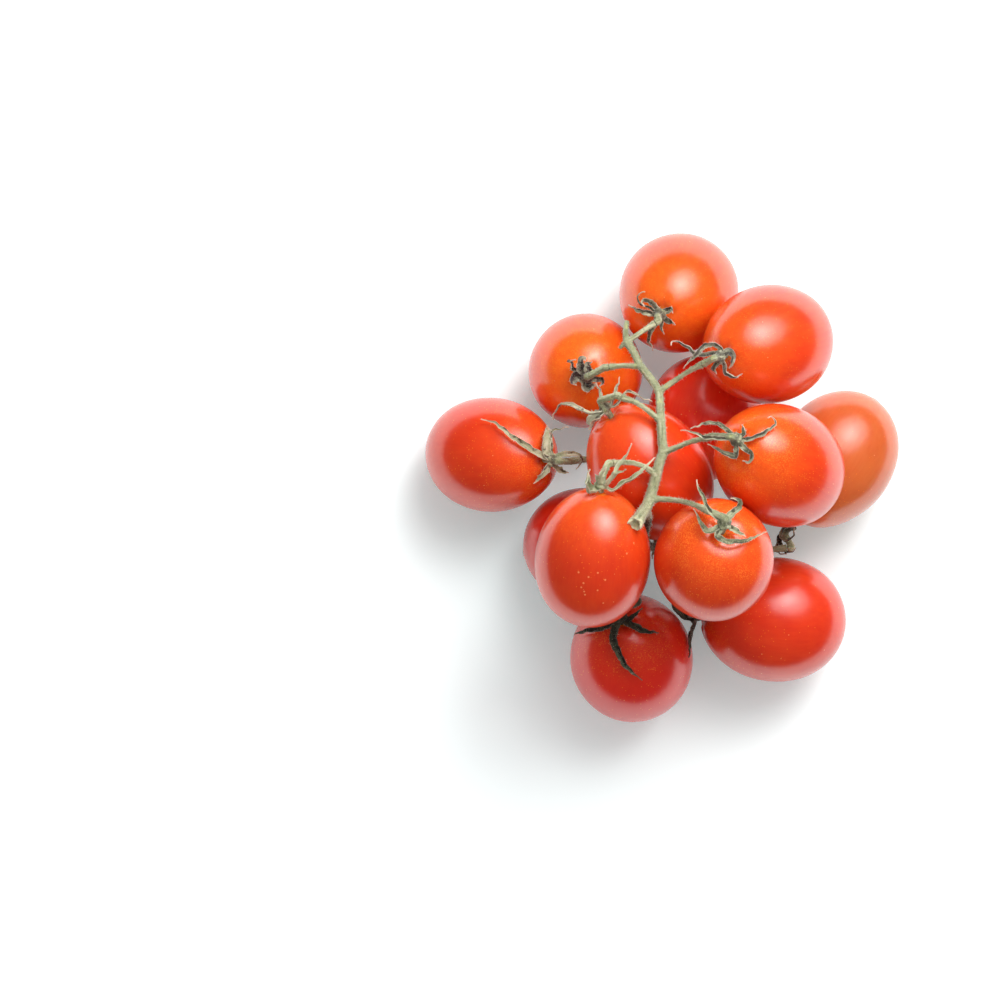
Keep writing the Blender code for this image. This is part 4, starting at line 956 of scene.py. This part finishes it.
def makeSepal(fruit, width, points, stems, seed):
    # a narrow blade folded up along its midrib like a boat, that dries to a curled thread
    draw = random.Random(seed)
    crumple = calyx["crumple"] * calyx["ragged"].get(fruit.number, 1.0)
    heart = calyxFoot(fruit)
    points = [fruit.stemEnd() + point for point in points]
    root = heart + unit(points[0] - heart) * calyx["root"]
    path = [pushOut(p, calyx["clearance"], stems) for p in smoothRoute([root] + points, calyx["step"])]
    rows, lanes = calyx["rows"], calyx["lanes"]
    fine = np.array(smoothRoute(path, calyx["fineStep"]))
    lengths = runLengths(fine)
    shares = np.linspace(0, 1, rows)
    middle = np.stack([np.interp(shares * lengths[-1], lengths, fine[:, k]) for k in range(3)], axis=1)
    swaySize = calyx["crumpleSize"] * calyx["swaySize"]
    sway = np.stack([wobble(middle, swaySize, seed * 3 + k) for k in range(3)], axis=1)
    middle = middle + sway * (crumple * np.minimum(1, shares * calyx["crumpleStart"]))[:, None]
    ahead = unit(np.gradient(middle, axis=0))
    outs = fruit.outward(middle)
    across = unit(np.cross(ahead[0], outs[0]))
    over = np.cross(across, ahead[0])
    if over @ outs[0] < 0:
        across = -across
    phase, waves = draw.uniform(0, wavering["turn"]), draw.uniform(*calyx["frillWaves"])
    twist = draw.uniform(-calyx["twist"], calyx["twist"])
    fold = calyx["fold"] * draw.uniform(*calyx["foldRange"])
    # which flank of the blade takes the painted shade
    shade = draw.choice((-1, 1))
    halves = width / 2 * calyx["narrow"] * np.interp(shares, *zip(*calyx["outline"]))
    halves = halves * (1 + calyx["nicks"] * wobble(middle, calyx["nickSize"], seed + 90))
    halves = np.maximum(halves, calyx["thread"])
    tops, bottoms, marks = [], [], []
    for index, t in enumerate(shares):
        flat = np.cross(ahead[index], outs[index])
        flat = flat / max(np.linalg.norm(flat), 1e-6)
        flat = flat if flat @ across > 0 else -flat
        across = across * (1 - calyx["levelling"]) + flat * calyx["levelling"]
        across = unit(across - ahead[index] * (across @ ahead[index]))
        over = np.cross(across, ahead[index])
        angle = twist * t * t
        side = across * math.cos(angle) + over * math.sin(angle)
        rise = over * math.cos(angle) - across * math.sin(angle)
        half = halves[index]
        # the boat opens at once, and its sides lean further in towards the thread
        lean = fold * min(1.0, calyx["opening"][0] + calyx["opening"][1] * t)
        wave = calyx["frill"] * math.sin(waves * t * wavering["turn"] + phase) * min(1, t * 3) * half
        for lane in np.linspace(-1, 1, lanes):
            edge = abs(lane)
            bend = lean * edge
            reach = half * lane * math.cos(bend * calyx["leanIn"])
            height = half * edge * math.sin(bend) * calyx["leanUp"] + wave * lane * edge
            height -= calyx["vein"] * math.exp(-((lane / calyx["veinWidth"]) ** 2)) * (1 - t)
            centre = middle[index] + side * reach + rise * height
            thick = calyx["thickness"] / 2 * (1 - edge**3) + calyx["edge"] / 2
            thick = max(thick * (1 - calyx["thinning"] * t), calyx["thinnest"])
            tops.append(centre + rise * thick)
            bottoms.append(centre - rise * thick)
            marks.append((t, edge, lane * shade, lane * half, seed, t * lengths[-1] * greens["grainStretch"]))
    sheet = rows * lanes
    points = np.array(tops + bottoms)
    points = points + outs.repeat(lanes, axis=0)[np.arange(2 * sheet) % sheet] * (
        wobble(points, calyx["crumpleSize"], seed + 50) * crumple * calyx["sheetCrumple"]
    )[:, None]
    points = pushAllOut(points, calyx["skinClearance"])
    upper = gridFaces(rows, lanes, False)
    faces = upper + [tuple(sheet + corner for corner in face[::-1]) for face in upper]
    rim = list(range(lanes))
    rim += [row * lanes + lanes - 1 for row in range(1, rows)]
    rim += [(rows - 1) * lanes + lane for lane in range(lanes - 2, -1, -1)]
    rim += [row * lanes for row in range(rows - 2, 0, -1)]
    for index, corner in enumerate(rim):
        after = rim[(index + 1) % len(rim)]
        faces.append((after, corner, sheet + corner, sheet + after))
    marks = np.array(marks * 2)
    return toObject(
        "sepal", points, faces, reach=marks[:, 0], edges=marks[:, 1], flank=marks[:, 2],
        grain=marks[:, 3:] * mm, inside=np.repeat([1.0, 0.0], sheet),
    )


def makeDisc(fruit):
    # the flat green disc that the sepals grow from, a little five-cornered
    points, rings, sides = [], calyx["discRings"], calyx["discSides"]
    place = calyxFoot(fruit)
    for ring in range(rings):
        tilt = math.pi * (ring + 0.5) / rings
        for side in range(sides):
            turn = 2 * math.pi * side / sides
            star = 1 + calyx["discStar"] * math.cos(5 * turn)
            out = fruit.side * math.cos(turn) + fruit.up * math.sin(turn)
            points.append(
                place + out * math.sin(tilt) * calyx["discRadius"] * star
                + fruit.axis * math.cos(tilt) * calyx["discHeight"]
            )
    faces = gridFaces(rings, sides, True)
    faces.append(tuple(range(sides)))
    last = (rings - 1) * sides
    faces.append(tuple(last + side for side in range(sides))[::-1])
    faces = [face[::-1] for face in faces]
    return toObject("disc", points, faces)


def makeCalyx(fruit, draw):
    number = fruit.number
    stalk = routes["stalks"][number]
    onward = unit(stalk[-1] - stalk[-2])
    start = stalk[-1] + onward * vine["knuckleGap"]
    foot = calyxFoot(fruit)
    neck = start + onward * calyx["neck"]
    bow = [neck, foot + fruit.axis * calyx["footRise"], foot]
    bow = [pushOut(p, vine["stalk"] + pile["stemClearance"]) for p in smoothRoute(bow, calyx["footStep"])[1:]]
    # the joint line at the knuckle is narrower than in the solids, and reads as a fine groove
    near = stalk[-1] + onward * calyx["groove"]
    route = [near, start, neck] + bow
    sunk = sum(depth for depth, _ in tomato["ownDimples"].get(number, tomato["dimples"]))
    nub = [foot, fruit.stemEnd() - fruit.axis * (sunk - calyx["nubClearance"])]
    pieces = [
        tubeMesh("foot", route, calyx["footRadii"], (0.0, 0.0), number), makeDisc(fruit),
        tubeMesh("nub", nub, calyx["nubRadii"], (0.0, 0.0), number),
    ]
    core = grownTogether(f"calyx_core_{number:02d}", pieces, calyx["voxel"])
    roughen(core, calyx["bumps"], calyx["bumpSize"], number)
    markStems(core, [route])
    # the middle of the star is the first to dry, and is also darkened as painted shade in its hollow
    away = np.linalg.norm(meshPoints(core.data) - foot, axis=1)
    heart = np.clip(calyx["heartReach"] - away / calyx["discRadius"], 0, 1)
    # painted shade: the cores on the shaded stalks take the same painted shade as those stalks
    dark = heart * 0 + (number in vine["darkStalks"])
    addMarks(core.data, heart=heart, stem=1 - heart, dark=dark, flank=heart * 0 - 1)
    addMarks(core.data, reach=None, edges=None, inside=None)
    stems = [(route, vine["knuckle"] + calyx["knuckleClearance"]) for route in routes["stalks"].values()]
    widths = {"trunk": "base", "branch": "branch", "stub": "stalk", "spur": "stalk"}
    stems += [(routes[name], vine[width]) for name, width in widths.items()]
    rows = sepalPoints.get(number) or hiddenSepals(fruit, draw)
    blades = [
        makeSepal(fruit, width, points, stems, number * 10 + index)
        for index, (width, *points) in enumerate(rows)
    ]
    whole = [core] + blades
    with bpy.context.temp_override(active_object=core, selected_editable_objects=whole):
        bpy.ops.object.join()
    core.name = f"sepals_{number:02d}"
    core.data.materials.clear()
    core.data.materials.append(greenPaint(core.name, *calyxTones[number]))
    core.data.shade_smooth()
    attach(core, "root")
    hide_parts(f"calyx_{number:02d}")
    return core


# fine hairs over everything green

hairs = {
    "vine": 5200, "calyx": 300, "length": (0.25, 0.75), "width": 0.035, "lean": 0.25, "clearance": 0.1,
    "root": 0.05, "side": (0.3, 0.5, 0.8), "turns": (0.0, 2.094, 4.189), "seed": 11,
    "dull": (196, 200, 176), "bright": (228, 228, 212), "toneScale": 500.0, "gloss": 0.3,
    "roughness": 0.55, "roughSpread": 0.1,
}


def hairsOn(thing, count, draw):
    mesh = thing.data
    mesh.calc_loop_triangles()
    corners = np.empty(len(mesh.loop_triangles) * 3, dtype=np.int32)
    mesh.loop_triangles.foreach_get("vertices", corners)
    corners = corners.reshape(-1, 3)
    points = meshPoints(mesh)
    a, b, c = points[corners[:, 0]], points[corners[:, 1]], points[corners[:, 2]]
    normal = np.cross(b - a, c - a)
    area = np.linalg.norm(normal, axis=1)
    chosen = draw.choice(len(corners), size=count, p=area / area.sum())
    share = draw.random((count, 2))
    flip = share.sum(axis=1) > 1
    share[flip] = 1 - share[flip]
    roots = a[chosen] + (b - a)[chosen] * share[:, :1] + (c - a)[chosen] * share[:, 1:]
    outs = normal[chosen] / np.maximum(area[chosen], 1e-9)[:, None]
    outs = unit(outs + draw.normal(size=(count, 3)) * hairs["lean"])
    return roots, outs, draw.uniform(*hairs["length"], size=count)


def makeHairs(vineSkin, calyxes):
    draw = np.random.default_rng(hairs["seed"])
    sets = [hairsOn(vineSkin, hairs["vine"], draw)]
    sets += [hairsOn(thing, hairs["calyx"], draw) for thing in calyxes]
    roots, outs, lengths = (np.concatenate(column) for column in zip(*sets))
    clear = np.ones(len(roots), dtype=bool)
    tips = roots + outs * lengths[:, None]
    for fruit in fruits.values():
        clear &= fruit.depth(tips, hairs["clearance"]) > 0
    roots, outs, tips = roots[clear], outs[clear], tips[clear]
    across = unit(np.cross(outs, hairs["side"]))
    over = np.cross(outs, across)
    points, faces = [], []
    for index in range(len(roots)):
        base = roots[index] - outs[index] * hairs["root"]
        for turn in hairs["turns"]:
            out = across[index] * math.cos(turn) + over[index] * math.sin(turn)
            points.append(base + out * hairs["width"])
        points.append(tips[index])
        first = index * 4
        faces += [(first, first + 1, first + 3), (first + 1, first + 2, first + 3)]
        faces += [(first + 2, first, first + 3), (first + 2, first + 1, first)]
    thing = toObject("fine_hairs", points, faces)
    paint = Paint("fine_hairs", Specular_IOR_Level=hairs["gloss"])
    tone = paint.noise(paint.place(), hairs["toneScale"])
    paint.colour(paint.mix(tone, rgb(*hairs["dull"]), rgb(*hairs["bright"])))
    paint.roughness(hairs["roughness"] + tone * hairs["roughSpread"])
    thing.data.materials.append(paint.material)
    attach(thing, "root")


# table, light and camera

studio = {
    "tableNear": 220.0, "tableEnd": 3000.0, "tableSides": 96, "table": (240, 246, 246),
    "tableCloud": (242, 247, 247), "cloudScale": 6.0, "tableRoughness": 0.75, "tableGloss": 0.2,
    "tableGlow": (0.10, 0.125, 0.125),
    "gapGlow": (0.085, 0.195, 0.195), "gapReach": (36.0, 78.0), "room": (0.575, 0.565, 0.565),
    "lampFrom": (0.31, 0.58, 0.76), "lampAway": 0.9, "lamps": ((1.0, 3.5), (0.62, 5.4), (0.3, 1.7)),
    "cameraHeight": 900.0, "pixelSize": 0.25, "pixelHeight": 30.0, "pictureSize": 1000,
    "trussPixel": (661, 475), "picturePixel": (500, 500), "sensor": 36.0, "seenFrom": (0.01, 20.0),
}


def makeStudio():
    # the table shines faintly, a little more under the truss, and the skins mirror only its near part
    paint = Paint(
        "table", Roughness=studio["tableRoughness"], Specular_IOR_Level=studio["tableGloss"],
        Emission_Strength=1.0,
    )
    outside = paint.measure("LENGTH", paint.place()).between(*(reach * mm for reach in studio["gapReach"]))
    glow = paint.mix(outside, (*studio["gapGlow"], 1.0), (*studio["tableGlow"], 1.0))
    paint.feed(paint.shader.inputs["Emission Color"], glow)
    cloud = paint.noise(paint.place(), studio["cloudScale"])
    paint.colour(paint.mix(cloud, rgb(*studio["table"]), rgb(*studio["tableCloud"])))
    turns = np.arange(studio["tableSides"]) / studio["tableSides"] * 2 * math.pi
    circle = np.stack([np.cos(turns), np.sin(turns), 0 * turns], axis=1)
    near, far = circle * studio["tableNear"], circle * studio["tableEnd"]
    table = toObject("table", near, [tuple(range(len(turns)))])
    beyond = toObject("table_beyond", np.concatenate([far, near]), gridFaces(2, len(turns), True))
    beyond.visible_glossy = False
    for part in (table, beyond):
        part.data.materials.append(paint.material)

    # the room gives an even fill, and the skins reflect only the lamps, the table and each other
    world = bpy.data.worlds.new("pale room")
    world.use_nodes = True
    world.node_tree.nodes["Background"].inputs["Color"].default_value = (*studio["room"], 1.0)
    world.cycles_visibility.glossy = False
    bpy.context.scene.world = world

    way = Vector(studio["lampFrom"]).normalized()
    for size, energy in studio["lamps"]:
        lampData = bpy.data.lights.new("soft box", "AREA")
        lampData.shape = "DISK"
        lampData.size = size
        lampData.energy = energy
        lamp = placed("soft box", lampData)
        lamp.location = way * studio["lampAway"]
        lamp.rotation_euler = way.to_track_quat("Z", "Y").to_euler()

    cameraData = bpy.data.cameras.new("camera")
    cameraData.sensor_width = studio["sensor"]
    perPixel = studio["pixelSize"] / (studio["cameraHeight"] - studio["pixelHeight"])
    cameraData.lens = studio["sensor"] / (studio["pictureSize"] * perPixel)
    cameraData.clip_start, cameraData.clip_end = studio["seenFrom"]
    camera = placed("camera", cameraData)
    across = (studio["picturePixel"][0] - studio["trussPixel"][0]) * studio["pixelSize"] + shift[0]
    away = (studio["trussPixel"][1] - studio["picturePixel"][1]) * studio["pixelSize"] + shift[1]
    camera.location = (across * mm, away * mm, studio["cameraHeight"] * mm)
    bpy.context.scene.camera = camera
    bpy.context.scene.view_settings.view_transform = "Standard"


fruits = layFruits()
shift = centreOnFrame(fruits)
routes = layRoutes()
for fruit in fruits.values():
    fruit.centre = fruit.centre + shift
stalks = {number: [point + shift for point in route] for number, route in routes.pop("stalks").items()}
routes = {name: [point + shift for point in route] for name, route in routes.items()}
routes["stalks"] = stalks
print("truss laid out, moved by", np.round(shift, 3))

makeStudio()
print("table, light and camera made")

ballMesh = makeBall()
for number in sorted(fruits):
    makeTomato(fruits[number], ballMesh)
bpy.data.meshes.remove(ballMesh)
print("tomatoes made")

vineSkin = makeVine()
print("vine made")

hiddenDraw = random.Random(calyx["seed"])
calyxes = [makeCalyx(fruits[number], hiddenDraw) for number in sorted(fruits)]
print("calyxes made")

makeHairs(vineSkin, calyxes)
print("hairs made")
